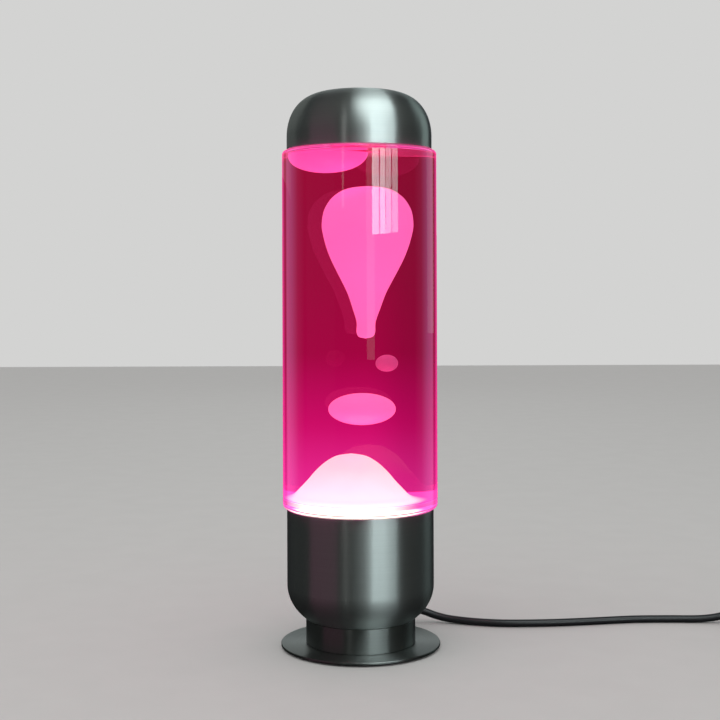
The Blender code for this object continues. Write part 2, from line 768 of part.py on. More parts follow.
def top_blob_outline(grow=0.0):
    """Wax that hangs from the bottle's top as a shallow round cap."""
    top = LIQUID_TOP_Z - WAX_Z
    low = top - TOP_BLOB_DEPTH - grow
    full = TOP_BLOB_RADIUS + grow
    depth = TOP_BLOB_DEPTH + grow
    outline = [(max(0.0, r), low + depth + z) for r, z in arc((0, 0), (full, depth), -90, 0, 7)]
    if grow:
        outline.append((full, top + grow * 4))
    outline.append((0, outline[-1][1]))
    return outline


def make_wax(mats, bottle):
    """Each moving piece of wax gets an empty on its own upright axis."""
    place = (0, 0, WAX_Z)
    mound = turned("wax_mound", mound_outline(), mats["wax"], bottle, place, 32, mound_lean)
    room = HEATER_TURN_RADIUS + HEATER_WIRE_RADIUS + GAP
    groove = turned(
        "heater_groove",
        rings_section(HEATER_RING_RADIUS - room, HEATER_RING_RADIUS + room, -0.002, 2 * room),
        mats["wax"],
        bottle,
        place,
    )
    cut(mound, groove)
    wax = mats["wax"]
    turned("wax_top_blob", top_blob_outline(), wax, bottle, (TOP_BLOB_X, 0, WAX_Z), WAX_AROUND)
    for name, outline, x in (
        ("wax_lens", lens_outline(), LENS_X),
        ("wax_droplet", droplet_outline(), DROPLET_X),
        ("wax_balloon", balloon_outline(), BALLOON_X),
    ):
        axis = add_empty(name + "_axis", (x, 0, WAX_Z), bottle)
        turned(name, outline, wax, axis, around=WAX_AROUND)


def make_liquid(mats, bottle):
    """Everything inside the bottle that isn't wax. Narrow passages join the wax's hollows to each other."""
    outside = GLASS_RADIUS - GLASS_WALL - GAP
    bore = NECK_RADIUS - NECK_WALL - GAP
    top = LIQUID_TOP_Z - WAX_Z
    corner = GLASS_CORNER - 0.0010
    outline = [(0, 0), (outside, 0)]
    outline += arc((outside - corner, top - corner), (corner, corner), 0, 90, 2)
    surface = top + GLASS_WALL + LIQUID_IN_NECK
    outline += [(bore, top), (bore, surface), (0, surface)]
    liquid = turned("liquid", outline, mats["liquid"], bottle, (0, 0, WAX_Z))
    wax = mats["wax"]
    cutters = [turned("mound_room", mound_outline(GAP), wax, bottle, (0, 0, WAX_Z), 32, mound_lean)]
    for name, room, x in (
        ("lens_room", lens_outline(GAP), LENS_X),
        ("droplet_room", droplet_outline(GAP), DROPLET_X),
        ("balloon_room", balloon_outline(GAP), BALLOON_X),
        ("top_blob_room", top_blob_outline(GAP), TOP_BLOB_X),
    ):
        cutters.append(turned(name, room, wax, bottle, (x, 0, WAX_Z), WAX_AROUND))
    low = (LENS_X, 0, WAX_Z + MOUND_HEIGHT - 0.004)
    lens = (LENS_X, 0, WAX_Z + LENS_HEIGHT)
    droplet = (DROPLET_X, 0, WAX_Z + DROPLET_HEIGHT)
    balloon = (BALLOON_X, 0, WAX_Z + BALLOON_FOOT_HEIGHT + 0.004)
    ends = ((low, lens), (lens, balloon), (droplet, (LENS_X, 0, droplet[2])))
    for i, (start, end) in enumerate(ends):
        cutters.append(rod_cutter(f"passage_{i + 1}", PASSAGE_RADIUS, start, end, bottle, around=6))
    for cutter in cutters:
        cut(liquid, cutter)


def make_heater_coil(mats, bottle):
    """A wire spring bent round into a ring, made as a closed loop that winds round the ring's own line."""
    per_turn = 6
    sides = 4
    bm = bmesh.new()
    count = HEATER_TURNS * per_turn
    rings = []
    for i in range(count):
        round_ring = 2 * math.pi * i / count
        round_wire = 2 * math.pi * i / per_turn
        out = Vector((math.cos(round_ring), math.sin(round_ring), 0))
        lean_out = out * math.cos(round_wire) + Vector((0, 0, math.sin(round_wire)))
        centre = out * HEATER_RING_RADIUS + lean_out * HEATER_TURN_RADIUS
        ahead = Vector((-out.y, out.x, 0)) * (HEATER_RING_RADIUS / HEATER_TURNS)
        spin = (Vector((0, 0, math.cos(round_wire))) - out * math.sin(round_wire)) * HEATER_TURN_RADIUS
        along = (ahead + spin).normalized()
        side = along.cross(lean_out).normalized()
        ring = []
        for k in range(sides):
            angle = 2 * math.pi * k / sides
            offset = lean_out * math.cos(angle) + side * math.sin(angle)
            ring.append(bm.verts.new(centre + offset * HEATER_WIRE_RADIUS))
        rings.append(ring)
    for a, b in zip(rings, rings[1:] + rings[:1]):
        for k in range(sides):
            bm.faces.new((a[k], a[(k + 1) % sides], b[(k + 1) % sides], b[k]))
    height = WAX_Z + HEATER_TURN_RADIUS + HEATER_WIRE_RADIUS
    add_object("heating_coil", finish_mesh("heating_coil", bm), mats["zinc_steel"], bottle, (0, 0, height))


def make_bottle(mats, bottle):
    turned("glass_bottle", glass_outline(), mats["glass"], bottle, (0, 0, GLASS_Z))
    make_wax(mats, bottle)
    make_liquid(mats, bottle)
    make_heater_coil(mats, bottle)
    liner = GLASS_TOP_Z + NECK_HEIGHT + GAP
    section = rings_section(0, NECK_RADIUS, liner, liner + LINER_THICKNESS)
    turned("crown_liner", section, mats["rubber"], bottle, around=32)
    under = liner + GAP + LINER_THICKNESS
    skirt = NECK_RADIUS + 0.0010 + GAP
    turned(
        "bottle_crown",
        [
            (0, under),
            (skirt, under),
            (skirt, under - CROWN_HEIGHT),
            (skirt + CROWN_WALL + 0.0010, under - CROWN_HEIGHT),
            (skirt + CROWN_WALL, under - CROWN_HEIGHT + 0.0030),
            (skirt + CROWN_WALL, under + CROWN_WALL - 0.0008),
            (skirt - 0.0008, under + CROWN_WALL),
            (0, under + CROWN_WALL),
        ],
        mats["crown_steel"],
        bottle,
        around=32,
    )


def make_cap(mats, cap):
    side = CAP_Z + CAP_SKIRT
    inside = CAP_RADIUS - CAP_WALL
    outer = dome_points(CAP_RADIUS, CAP_DOME_HEIGHT, CAP_DOME_POWER, 0.0, 9)
    inner = dome_points(inside, CAP_DOME_HEIGHT - CAP_WALL, CAP_DOME_POWER, 0.0, 6)
    outline = [(r, side + rise) for r, rise in reversed(inner)]
    outline += [(inside, CAP_Z), (CAP_RADIUS, CAP_Z)]
    outline += [(r, side + rise) for r, rise in outer]
    turned("top_cap", outline, mats["spun_aluminium"], cap)
    ring_out = inside - GAP
    turned(
        "cap_ring",
        rings_section(ring_out - CAP_RING_WIDTH, ring_out, CAP_Z, CAP_Z + CAP_RING_HEIGHT),
        mats["rubber"],
        cap,
    )


def exit_point(radius, height=CORD_EXIT_HEIGHT):
    angle = math.radians(CORD_EXIT_ANGLE)
    return Vector((radius * math.cos(angle), radius * math.sin(angle), height))


def make_gland(mats, root):
    """A moulded strain relief: a flange on each side of the collar's wall, and a tapered nose outside."""
    inner_face = -COLLAR_WALL - GAP - GLAND_FLANGE
    outline = [
        (0, inner_face),
        (GLAND_FLANGE_RADIUS - 0.0008, inner_face),
        (GLAND_FLANGE_RADIUS - 0.0008, inner_face + GLAND_FLANGE - 0.0006),
        (GLAND_RADIUS, inner_face + GLAND_FLANGE - 0.0006),
        (GLAND_RADIUS, 2 * GAP),
        (GLAND_FLANGE_RADIUS, 2 * GAP),
        (GLAND_FLANGE_RADIUS, 2 * GAP + GLAND_FLANGE - 0.0004),
        (GLAND_FLANGE_RADIUS - 0.0006, 2 * GAP + GLAND_FLANGE),
        (GLAND_RADIUS, 2 * GAP + GLAND_FLANGE),
        (GLAND_TIP_RADIUS, GLAND_NOSE),
        (0, GLAND_NOSE),
    ]
    gland = turned("cord_gland", outline, mats["rubber"], root, exit_point(COLLAR_RADIUS), around=20)
    gland.rotation_euler = (math.pi / 2, 0, math.radians(CORD_EXIT_ANGLE - 270))


def make_wiring(mats, root):
    """Terminal block, cord clamp and leads inside the collar."""
    length, width, height = CONNECTOR_SIZE
    centre = exit_point(CONNECTOR_REACH, COLLAR_Z + height / 2)
    block = slab_mesh("terminal_block", oblong(length, width), -height / 2, height / 2, bevel=0.0006)
    add_object("terminal_block", block, mats["white_plastic"], root, centre, turn=CORD_EXIT_ANGLE - 90)
    inner_face = COLLAR_RADIUS - COLLAR_WALL - GAP - GLAND_FLANGE
    start = exit_point(inner_face - GAP)
    end = exit_point(CONNECTOR_REACH + width / 2 + GAP)
    tube("cord_inner", [start, (start + end) / 2, end], CORD_RADIUS * 0.9, mats["black_pvc"], root)
    along = exit_point(1.0, 0.0)
    aside = Vector((-along.y, along.x, 0))
    under = HOLDER_Z - HOLDER_BELOW_PLATE - GAP
    for name, side in (("lead_line", -1), ("lead_neutral", 1)):
        from_block = centre + aside * side * (length / 2 + 0.0002 + GAP)
        points = [
            from_block,
            from_block + aside * side * 0.0030 - along * 0.0010,
            from_block + aside * side * 0.0045 - along * 0.0080,
            along * 0.0060 + aside * side * 0.0080 + Vector((0, 0, under - 0.0022)),
            along * 0.0020 + aside * side * 0.0050 + Vector((0, 0, under - 0.0012)),
        ]
        tube(name, smooth_line(points, 0.0030), LEAD_RADIUS, mats["black_pvc"], root)


def cord_run_points():
    """From the gland's nose over the edge of the foot, down to the table and along it to the switch."""
    return [
        exit_point(COLLAR_RADIUS + GLAND_NOSE + GAP),
        (0.0302, 0.0552, 0.0103),
        (0.0362, 0.0584, 0.0093),
        (0.0440, 0.0590, 0.0073),
        (0.0520, 0.0576, 0.0047),
        (0.0620, 0.0548, 0.0030),
        (0.0780, 0.0492, 0.0025),
        (0.0960, 0.0450, 0.0025),
        (0.1180, 0.0448, 0.0025),
        (0.1420, 0.0470, 0.0025),
        (0.1660, 0.0510, 0.0025),
        (0.1890, 0.0545, 0.0025),
        (0.2120, 0.0550, 0.0025),
        (0.2320, 0.0540, 0.0027),
        (0.2440, 0.0532, 0.0040),
        (0.2550, 0.0530, SWITCH_SPLIT - 0.0002),
        (SWITCH_CENTRE[0] - SWITCH_SIZE[0] / 2 - GAP, SWITCH_CENTRE[1], SWITCH_SPLIT),
    ]


def cord_bend_points():
    """From the switch's far end round to the outside of the coil."""
    cx, cy = COIL_CENTRE
    sx = SWITCH_CENTRE[0] + SWITCH_SIZE[0] / 2
    return [
        (sx + GAP, SWITCH_CENTRE[1], SWITCH_SPLIT),
        (sx + 0.0040, SWITCH_CENTRE[1], SWITCH_SPLIT - 0.0001),
        (sx + 0.0110, 0.0508, 0.0052),
        (sx + 0.0165, 0.0455, 0.0036),
        (sx + 0.0195, 0.0370, 0.0025),
        (cx + 0.0372, 0.0280, 0.0025),
        (cx + 0.0370, cy + 0.0200, 0.0025),
    ]


def cord_tail_points():
    """From the top of the coil, curling inwards and up to the plug that lies on it."""
    cx, cy = COIL_CENTRE
    top = TIE_THICKNESS + GAP + COIL_HEIGHT + GAP + CORD_RADIUS
    axis = plug_axis_height()
    return [
        (cx + 0.0343, cy + 0.0100, top),
        (cx + 0.0340, cy + 0.0010, top + 0.0004),
        (cx + 0.0312, cy - 0.0085, top + 0.0014),
        (cx + 0.0255, cy - 0.0160, axis - 0.0008),
        (cx + 0.0195, cy - 0.0196, axis - 0.0002),
        (cx + PLUG_REAR[0] + 0.0035, cy + PLUG_REAR[1], axis),
        (cx + PLUG_REAR[0] + GAP, cy + PLUG_REAR[1], axis),
    ]


def plug_axis_height():
    return TIE_THICKNESS + GAP + COIL_HEIGHT + GAP + TIE_THICKNESS + GAP + PLUG_THICKNESS / 2


def make_cord(mats, root):
    pvc = mats["black_pvc"]
    tube("cord_run", smooth_line(cord_run_points(), 0.0075), CORD_RADIUS, pvc, root)
    tube("cord_bend", smooth_line(cord_bend_points(), 0.0060), CORD_RADIUS, pvc, root)
    tube("cord_tail", smooth_line(cord_tail_points(), 0.0060), CORD_RADIUS, pvc, root)
    low = TIE_THICKNESS + GAP
    high = low + COIL_HEIGHT
    inner, outer = COIL_RADII
    soft = 0.0025
    outline = [
        (inner + soft, low),
        (outer - soft, low),
        (outer, low + soft),
        (outer, high - soft),
        (outer - soft, high),
        (inner + soft, high),
        (inner, high - soft),
        (inner, low + soft),
    ]
    turned("cord_coil", outline, pvc, root, (*COIL_CENTRE, 0), around=40)
    make_tie(mats, root)


def make_tie(mats, root):
    """A strap round the coil's section, clear of the coil's curve across the strap's width."""
    inner = math.sqrt(COIL_RADII[0] ** 2 - (TIE_WIDTH / 2) ** 2)
    low = TIE_THICKNESS + GAP

    def loop(grow):
        left, right = inner - GAP - grow, COIL_RADII[1] + GAP + grow
        bottom, top = low - GAP - grow, low + COIL_HEIGHT + GAP + grow
        c = 0.0012
        return [
            (left, bottom + c),
            (left + c, bottom),
            (right - c, bottom),
            (right, bottom + c),
            (right, top - c),
            (right - c, top),
            (left + c, top),
            (left, top - c),
        ]

    bm = bmesh.new()
    sides = []
    for y in (-TIE_WIDTH / 2, TIE_WIDTH / 2):
        for grow in (0.0, TIE_THICKNESS):
            sides.append([bm.verts.new((x, y, z)) for x, z in loop(grow)])
    inner_a, outer_a, inner_b, outer_b = sides
    count = len(inner_a)
    for i in range(count):
        j = (i + 1) % count
        bm.faces.new((inner_a[i], inner_a[j], outer_a[j], outer_a[i]))
        bm.faces.new((inner_b[i], outer_b[i], outer_b[j], inner_b[j]))
        bm.faces.new((outer_a[i], outer_a[j], outer_b[j], outer_b[i]))
        bm.faces.new((inner_a[i], inner_b[i], inner_b[j], inner_a[j]))
    mesh = finish_mesh("cord_tie", bm, smooth=False)
    add_object("cord_tie", mesh, mats["rubber"], root, (*COIL_CENTRE, 0), turn=TIE_ANGLE)


def switch_outline(length, width):
    """A long rounded shape that narrows to the cord at both ends."""
    half_l, half_w = length / 2, width / 2
    quarter = [
        (half_l, half_w * 0.36),
        (half_l * 0.86, half_w * 0.62),
        (half_l * 0.60, half_w * 0.90),
        (half_l * 0.30, half_w),
    ]
    upper = quarter + [(-x, y) for x, y in reversed(quarter)]
    return upper + [(-x, -y) for x, y in upper]


def make_switch(mats, root):
    """In-line rocker switch: two shells, the rocker on its pin, two terminals and two screws."""
    length, width, height = SWITCH_SIZE
    centre = (*SWITCH_CENTRE, 0)
    outline = switch_outline(length, width)
    lower_mesh = slab_mesh("switch_lower", outline, 0, SWITCH_SPLIT)
    lower = add_object("switch_lower", lower_mesh, mats["black_pvc"], root, centre)
    upper_mesh = slab_mesh("switch_upper", outline, SWITCH_SPLIT + GAP, height)
    upper = add_object("switch_upper", upper_mesh, mats["black_pvc"], root, centre)
    inside = switch_outline(length - SWITCH_END_LENGTH, width - 2 * SWITCH_WALL)
    hollow_low = slab_mesh("switch_hollow_low", inside, SWITCH_WALL, SWITCH_SPLIT + 0.002)
    cut(lower, add_object("switch_hollow_low", hollow_low, mats["rubber"], root, centre))
    hollow_high = slab_mesh("switch_hollow_high", inside, SWITCH_SPLIT - 0.002, height - SWITCH_WALL)
    cut(upper, add_object("switch_hollow_high", hollow_high, mats["rubber"], root, centre))
    window = oblong(ROCKER_SIZE[0] + 2 * ROCKER_PLAY, ROCKER_SIZE[1] + 2 * ROCKER_PLAY)
    window_mesh = slab_mesh("rocker_window", window, height - SWITCH_WALL - 0.002, height + 0.002)
    cut(upper, add_object("rocker_window", window_mesh, mats["rubber"], root, centre))
    make_rocker(mats, root)
    for i, side in enumerate((-1, 1)):
        name = f"switch_terminal_{i + 1}"
        low, high = SWITCH_WALL + GAP, SWITCH_SPLIT - 0.0006
        mesh = slab_mesh(name, oblong(*TERMINAL_SIZE), low, high, bevel=0.0004)
        place = (SWITCH_CENTRE[0] + side * TERMINAL_REACH, SWITCH_CENTRE[1], 0)
        add_object(name, mesh, mats["brass"], root, place)
    make_switch_screws(mats, root, (lower, upper))


def make_switch_screws(mats, root, shells):
    top = SWITCH_SIZE[2]
    for i, side in enumerate((-1, 1)):
        x, y = SWITCH_CENTRE[0] + side * SWITCH_SCREW_REACH, SWITCH_CENTRE[1]
        for shell in shells:
            name = f"{shell.name}_screw_hole_{i + 1}"
            radius = SWITCH_SCREW_RADIUS + GAP
            cut(shell, rod_cutter(name, radius, (x, y, 0.0012), (x, y, top + 0.002), root, around=12))
        section = rings_section(0, SWITCH_SCREW_RADIUS, 0.0020, top - 0.0003)
        turned(f"switch_screw_{i + 1}", section, mats["zinc_steel"], root, (x, y, 0), around=12)


def rocker_axis_height():
    return SWITCH_SIZE[2] - ROCKER_AXIS_DEPTH


def make_rocker(mats, root):
    """The rocker turns on an axis along Y, and one end stands proud at rest."""
    rl, rw, rh = ROCKER_SIZE
    axis = add_empty("rocker_axis", (*SWITCH_CENTRE, rocker_axis_height()), root)
    top = ROCKER_TOP
    section = [
        (-rl / 2, top + 0.0010),
        (-rl * 0.25, top - 0.0002),
        (0, top - 0.0007),
        (rl * 0.25, top - 0.0002),
        (rl / 2, top + 0.0010),
        (rl / 2, -0.0012),
        (rl * 0.2, -rh + top),
        (-rl * 0.2, -rh + top),
        (-rl / 2, -0.0012),
    ]
    bm = bmesh.new()
    face = bm.faces.new([bm.verts.new((x, -rw / 2, z)) for x, z in section])
    made = bmesh.ops.extrude_face_region(bm, geom=[face])
    risen = [item for item in made["geom"] if isinstance(item, bmesh.types.BMVert)]
    bmesh.ops.translate(bm, verts=risen, vec=(0, rw, 0))
    add_object("switch_rocker", finish_mesh("switch_rocker", bm), mats["black_pvc"], axis)


def make_plug(mats, root):
    """A flat two-pin plug that lies on the coil, its pins towards -X."""
    rear_x = COIL_CENTRE[0] + PLUG_REAR[0]
    centre = (rear_x, COIL_CENTRE[1] + PLUG_REAR[1], plug_axis_height())
    half_w = PLUG_WIDTH / 2
    outline = [
        (0, 0.0040),
        (-0.0100, 0.0052),
        (-0.0160, 0.0090),
        (-0.0260, half_w),
        (-PLUG_LENGTH + 0.0010, half_w),
        (-PLUG_LENGTH, half_w - 0.0012),
    ]
    outline += [(x, -y) for x, y in reversed(outline)]
    body_mesh = slab_mesh("plug_body", outline, -PLUG_THICKNESS / 2, PLUG_THICKNESS / 2, bevel=0.0016)
    body = add_object("plug_body", body_mesh, mats["black_pvc"], root, centre)
    for name, side in (("plug_pin_line", -1), ("plug_pin_neutral", 1)):
        y = centre[1] + side * PIN_SPACING / 2
        start = rear_x - PLUG_LENGTH + PIN_ROOT
        end = rear_x - PLUG_LENGTH - PIN_LENGTH
        z = centre[2]
        room = PIN_RADIUS + GAP
        cut(body, rod_cutter(name + "_socket", room, (start + GAP, y, z), (end, y, z), root, around=20))
        long = PIN_ROOT + PIN_LENGTH
        outline_pin = [
            (0, 0),
            (PIN_RADIUS, 0),
            (PIN_RADIUS, PIN_ROOT + PIN_SLEEVE),
            (PIN_RADIUS - 0.0002, PIN_ROOT + PIN_SLEEVE),
            (PIN_RADIUS - 0.0002, long - 0.0010),
            (PIN_RADIUS - 0.0012, long),
            (0, long),
        ]
        pin = turned(name, outline_pin, mats["brass"], root, (start, y, z), around=16)
        pin.rotation_euler = (0, -math.pi / 2, 0)


def main():
    clear_scene()
    mats = make_materials()
    root = add_empty("lamp")
    bottle = add_empty("bottle_axis", parent=root)
    cap = add_empty("cap_axis", parent=bottle)
    bulb = add_empty("bulb_axis", parent=root)
    make_foot(mats, root)
    make_housing(mats, root)
    make_seat(mats, root)
    make_tie_screws(mats, root)
    make_lampholder(mats, root)
    make_bulb(mats, bulb)
    make_bottle(mats, bottle)
    make_cap(mats, cap)
    make_gland(mats, root)
    make_wiring(mats, root)
    make_cord(mats, root)
    make_switch(mats, root)
    make_plug(mats, root)


main()
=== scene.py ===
import math
import bpy
import numpy as np
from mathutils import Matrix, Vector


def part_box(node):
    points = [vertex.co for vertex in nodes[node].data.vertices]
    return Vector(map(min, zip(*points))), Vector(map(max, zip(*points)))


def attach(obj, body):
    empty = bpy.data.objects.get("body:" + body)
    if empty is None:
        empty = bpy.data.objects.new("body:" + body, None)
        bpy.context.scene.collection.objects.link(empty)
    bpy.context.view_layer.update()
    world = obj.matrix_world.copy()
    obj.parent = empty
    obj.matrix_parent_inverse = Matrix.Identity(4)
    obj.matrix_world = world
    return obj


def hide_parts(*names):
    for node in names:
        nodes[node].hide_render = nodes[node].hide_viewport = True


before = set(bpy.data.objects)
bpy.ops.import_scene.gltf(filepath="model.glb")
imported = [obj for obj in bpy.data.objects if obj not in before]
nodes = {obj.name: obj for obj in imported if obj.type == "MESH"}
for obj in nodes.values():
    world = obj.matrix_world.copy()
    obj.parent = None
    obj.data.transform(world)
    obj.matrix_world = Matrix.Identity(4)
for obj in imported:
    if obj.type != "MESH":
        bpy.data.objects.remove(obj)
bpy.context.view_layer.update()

print("frame loaded:", len(nodes), "solids")


def fromHex(code, alpha=1.0):
    # sRGB hex to linear: below 0.04045 divide by 12.92, above it a 2.4 power curve
    parts = np.array([int(code[i:i + 2], 16) for i in (1, 3, 5)]) / 255
    linear = np.where(parts <= 0.04045, parts / 12.92, ((parts + 0.055) / 1.055) ** 2.4)
    return (*linear.tolist(), alpha)


def addNode(tree, kind, inputs=None, **settings):
    node = tree.nodes.new("ShaderNode" + kind)
    for name, value in settings.items():
        setattr(node, name, value)
    for socket, value in (inputs or {}).items():
        if isinstance(value, bpy.types.NodeSocket):
            tree.links.new(value, node.inputs[socket])
        else:
            node.inputs[socket].default_value = value
    return node


def newMaterial(name, **sockets):
    made = bpy.data.materials.new(name)
    made.use_nodes = True
    tree = made.node_tree
    shader = tree.nodes["Principled BSDF"]
    for socket, value in sockets.items():
        shader.inputs[socket.replace("_", " ")].default_value = value
    return made, tree, shader


def skin(name, grid, material, loop=False):
    # A surface over a grid of points: rows run along the profile, columns go round and meet.
    # A row that has shrunk to a point closes as a pole, and a loop joins its last row to its first.
    poleLow, poleHigh = (bool(np.ptp(grid[i], axis=0).max() < 1e-9) for i in (0, -1))
    body = grid[int(poleLow):len(grid) - int(poleHigh)]
    rows, cols = body.shape[:2]
    points = body.reshape(-1, 3)
    i, j = np.meshgrid(np.arange(rows if loop else rows - 1), np.arange(cols), indexing="ij")
    here, right = i * cols + j, i * cols + (j + 1) % cols
    above = (i + 1) % rows * cols + j
    aboveRight = (i + 1) % rows * cols + (j + 1) % cols
    quads = np.stack([here, right, aboveRight, above], axis=-1).reshape(-1, 4)
    faces = quads.tolist()
    ring = np.arange(cols)
    if poleLow:
        points = np.vstack([points, grid[0, 0]])
        faces += np.stack([(ring + 1) % cols, ring, np.full(cols, len(points) - 1)], axis=-1).tolist()
    if poleHigh:
        points = np.vstack([points, grid[-1, 0]])
        last = (rows - 1) * cols
        fan = np.stack([last + ring, last + (ring + 1) % cols, np.full(cols, len(points) - 1)], axis=-1)
        faces += fan.tolist()
    mesh = bpy.data.meshes.new(name)
    mesh.from_pydata(points.tolist(), [], faces)
    mesh.shade_smooth()
    mesh.set_sharp_from_angle(angle=math.radians(42))
    mesh.materials.append(material)
    piece = bpy.data.objects.new(name, mesh)
    bpy.context.scene.collection.objects.link(piece)
    return piece


def softened(corners, cuts, steps=5):
    # A line of (radius, height) corners, each cut back by its own length and bridged by a parabola
    corners = np.array(corners, float)
    cuts = np.broadcast_to(np.asarray(cuts, float), len(corners))[:, None]
    before = np.roll(corners, 1, axis=0) - corners
    after = np.roll(corners, -1, axis=0) - corners
    start = corners + before / np.maximum(np.linalg.norm(before, axis=1, keepdims=True), 1e-9) * cuts
    end = corners + after / np.maximum(np.linalg.norm(after, axis=1, keepdims=True), 1e-9) * cuts
    t = np.linspace(0, 1, steps)[None, :, None]
    bent = (1 - t) ** 2 * start[:, None] + 2 * t * (1 - t) * corners[:, None] + t ** 2 * end[:, None]
    flat = bent.reshape(-1, 2)
    keep = np.r_[True, np.linalg.norm(np.diff(flat, axis=0), axis=1) > 1e-7]
    return flat[keep]


def throughPoints(points, steps=8):
    # A Catmull-Rom line: each span is the cubic whose slopes at its ends follow the neighbouring points
    points = np.array(points, float)
    ends = np.vstack([2 * points[0] - points[1], points, 2 * points[-1] - points[-2]])
    a, b, c, d = (ends[k:len(ends) - 3 + k][:, None] for k in range(4))
    t = np.linspace(0, 1, steps, endpoint=False)[None, :, None]
    bend = 2 * a - 5 * b + 4 * c - d
    twist = 3 * b - a - 3 * c + d
    line = 0.5 * (2 * b + (c - a) * t + bend * t ** 2 + twist * t ** 3)
    return np.vstack([line.reshape(-1, points.shape[1]), points[-1]])


def turnGrid(profile, around=144, centre=(0.0, 0.0)):
    # A profile of (radius, height) carried round an upright axis
    profile = np.array(profile, float)
    angle = np.arange(around) * 2 * math.pi / around
    radius, height = profile[:, :1], profile[:, 1:]
    return np.stack([
        centre[0] + radius * np.cos(angle),
        centre[1] + radius * np.sin(angle),
        height + 0 * angle], axis=-1)


def along(grid, origin, direction, up=(0, 0, 1)):
    # Lays an upright turned shape over, so that its axis runs from origin along direction
    axis = np.array(direction, float) / np.linalg.norm(direction)
    side = np.cross(np.array(up, float), axis)
    side /= np.linalg.norm(side)
    return np.array(origin, float) + grid @ np.array([side, np.cross(axis, side), axis])


def domeRows(radius, height, power, fromRadius, steps):
    # A rounded end: height over the rim is height * sqrt(1 - (r / radius) ** power)
    last = math.acos(min(1.0, math.sqrt(max(0.0, 1 - (fromRadius / radius) ** power))))
    angle = np.linspace(math.pi / 2, last, steps)
    rise = height * np.cos(angle)
    out = radius * np.maximum(0.0, 1 - (rise / height) ** 2) ** (1 / power)
    out[-1] = fromRadius
    return np.stack([out, rise], axis=-1)


def finishPiece(piece, body, slotName, *cadNodes):
    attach(piece, body)
    if cadNodes:
        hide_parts(*cadNodes)
    return piece


view = {"lens": 66.52, "distance": 0.8618, "height": 0.2328, "rollDegrees": 0.2,
        "shiftX": 0.0006, "shiftY": -0.1033}

cameraData = bpy.data.cameras.new("camera")
cameraData.lens = view["lens"]
cameraData.sensor_width = 36.0
cameraData.shift_x = view["shiftX"]
cameraData.shift_y = view["shiftY"]
camera = bpy.data.objects.new("camera", cameraData)
camera.location = (0, -view["distance"], view["height"])
camera.rotation_euler = (math.pi / 2, math.radians(view["rollDegrees"]), 0)
bpy.context.scene.collection.objects.link(camera)
bpy.context.scene.camera = camera
bpy.context.scene.view_settings.view_transform = "Standard"
print("camera ready")


flex = {"length": 1.80, "radius": 0.0025, "exitAngle": 62.0, "exitHeight": 0.0105, "collarRadius": 0.0353,
        "coilCentre": (0.3052, -0.0010), "coilLevels": (0.0032, 0.0080), "plugLevel": 0.01915,
        "switchCentre": (0.2920, 0.0530), "switchSize": (0.0600, 0.0230, 0.0145), "switchSplit": 0.0068}


def exitPoint(radius, height=flex["exitHeight"]):
    angle = math.radians(flex["exitAngle"])
    return [radius * math.cos(angle), radius * math.sin(angle), height]


def coilLine():
    # Two layers of turns wound clockwise: each turn keeps its radius,
    # and steps to the next over a sixth of a turn
    radii = np.array([0.0368, 0.0317, 0.0266, 0.0215, 0.02405, 0.02915, 0.03425])
    levels = np.array(flex["coilLevels"])[[0, 0, 0, 0, 1, 1, 1]]
    turn = np.linspace(0, len(radii) - 1 / 12, 208)
    whole = np.minimum(turn.astype(int), len(radii) - 1)
    share = np.clip((turn - whole) / 0.17, 0, 1)
    ease = share * share * (3 - 2 * share)
    before = np.maximum(whole - 1, 0)
    radius = radii[before] + (radii[whole] - radii[before]) * ease
    level = levels[before] + (levels[whole] - levels[before]) * ease
    angle = -turn * 2 * math.pi
    return np.stack([
        flex["coilCentre"][0] + radius * np.cos(angle),
        flex["coilCentre"][1] + radius * np.sin(angle),
        level], axis=-1)


def cordLine():
    sx, sy = flex["switchCentre"]
    cx, cy = flex["coilCentre"]
    half = flex["switchSize"][0] / 2
    split = flex["switchSplit"]
    run = [
        exitPoint(0.0340), exitPoint(0.0460), exitPoint(0.0556),
        [0.0302, 0.0552, 0.0103], [0.0362, 0.0584, 0.0093], [0.0440, 0.0590, 0.0073],
        [0.0520, 0.0576, 0.0047], [0.0620, 0.0548, 0.0030], [0.0780, 0.0492, 0.0025],
        [0.0960, 0.0450, 0.0025], [0.1180, 0.0448, 0.0025], [0.1420, 0.0470, 0.0025],
        [0.1660, 0.0510, 0.0025], [0.1890, 0.0545, 0.0025], [0.2120, 0.0550, 0.0025],
        [0.2320, 0.0540, 0.0027], [0.2440, 0.0532, 0.0040], [0.2550, 0.0530, split - 0.0002],
        [sx - half, sy, split], [sx, sy, split], [sx + half, sy, split],
        [sx + half + 0.0110, 0.0508, 0.0052], [sx + half + 0.0165, 0.0455, 0.0036],
        [sx + half + 0.0195, 0.0370, 0.0029], [cx + 0.0372, 0.0280, 0.0029], [cx + 0.0370, 0.0190, 0.0031],
        [cx + 0.0369, 0.0090, 0.0032]]
    tail = [
        [cx + 0.0336, cy + 0.0062, 0.0092], [cx + 0.0339, cy - 0.0048, 0.0111],
        [cx + 0.0322, cy - 0.0117, 0.0127], [cx + 0.0275, cy - 0.0172, 0.0150],
        [cx + 0.0204, cy - 0.0200, 0.0178], [cx + 0.0150, cy - 0.0200, 0.0189],
        [cx + 0.0100, cy - 0.0200, flex["plugLevel"]]]
    coil = coilLine()
    steps = 6
    arriving = throughPoints(np.vstack([run, coil[:2]]), steps)[:-steps - 1]
    leaving = throughPoints(np.vstack([coil[-2:], tail]), steps)[steps + 1:]
    return np.vstack([arriving, coil, leaving])


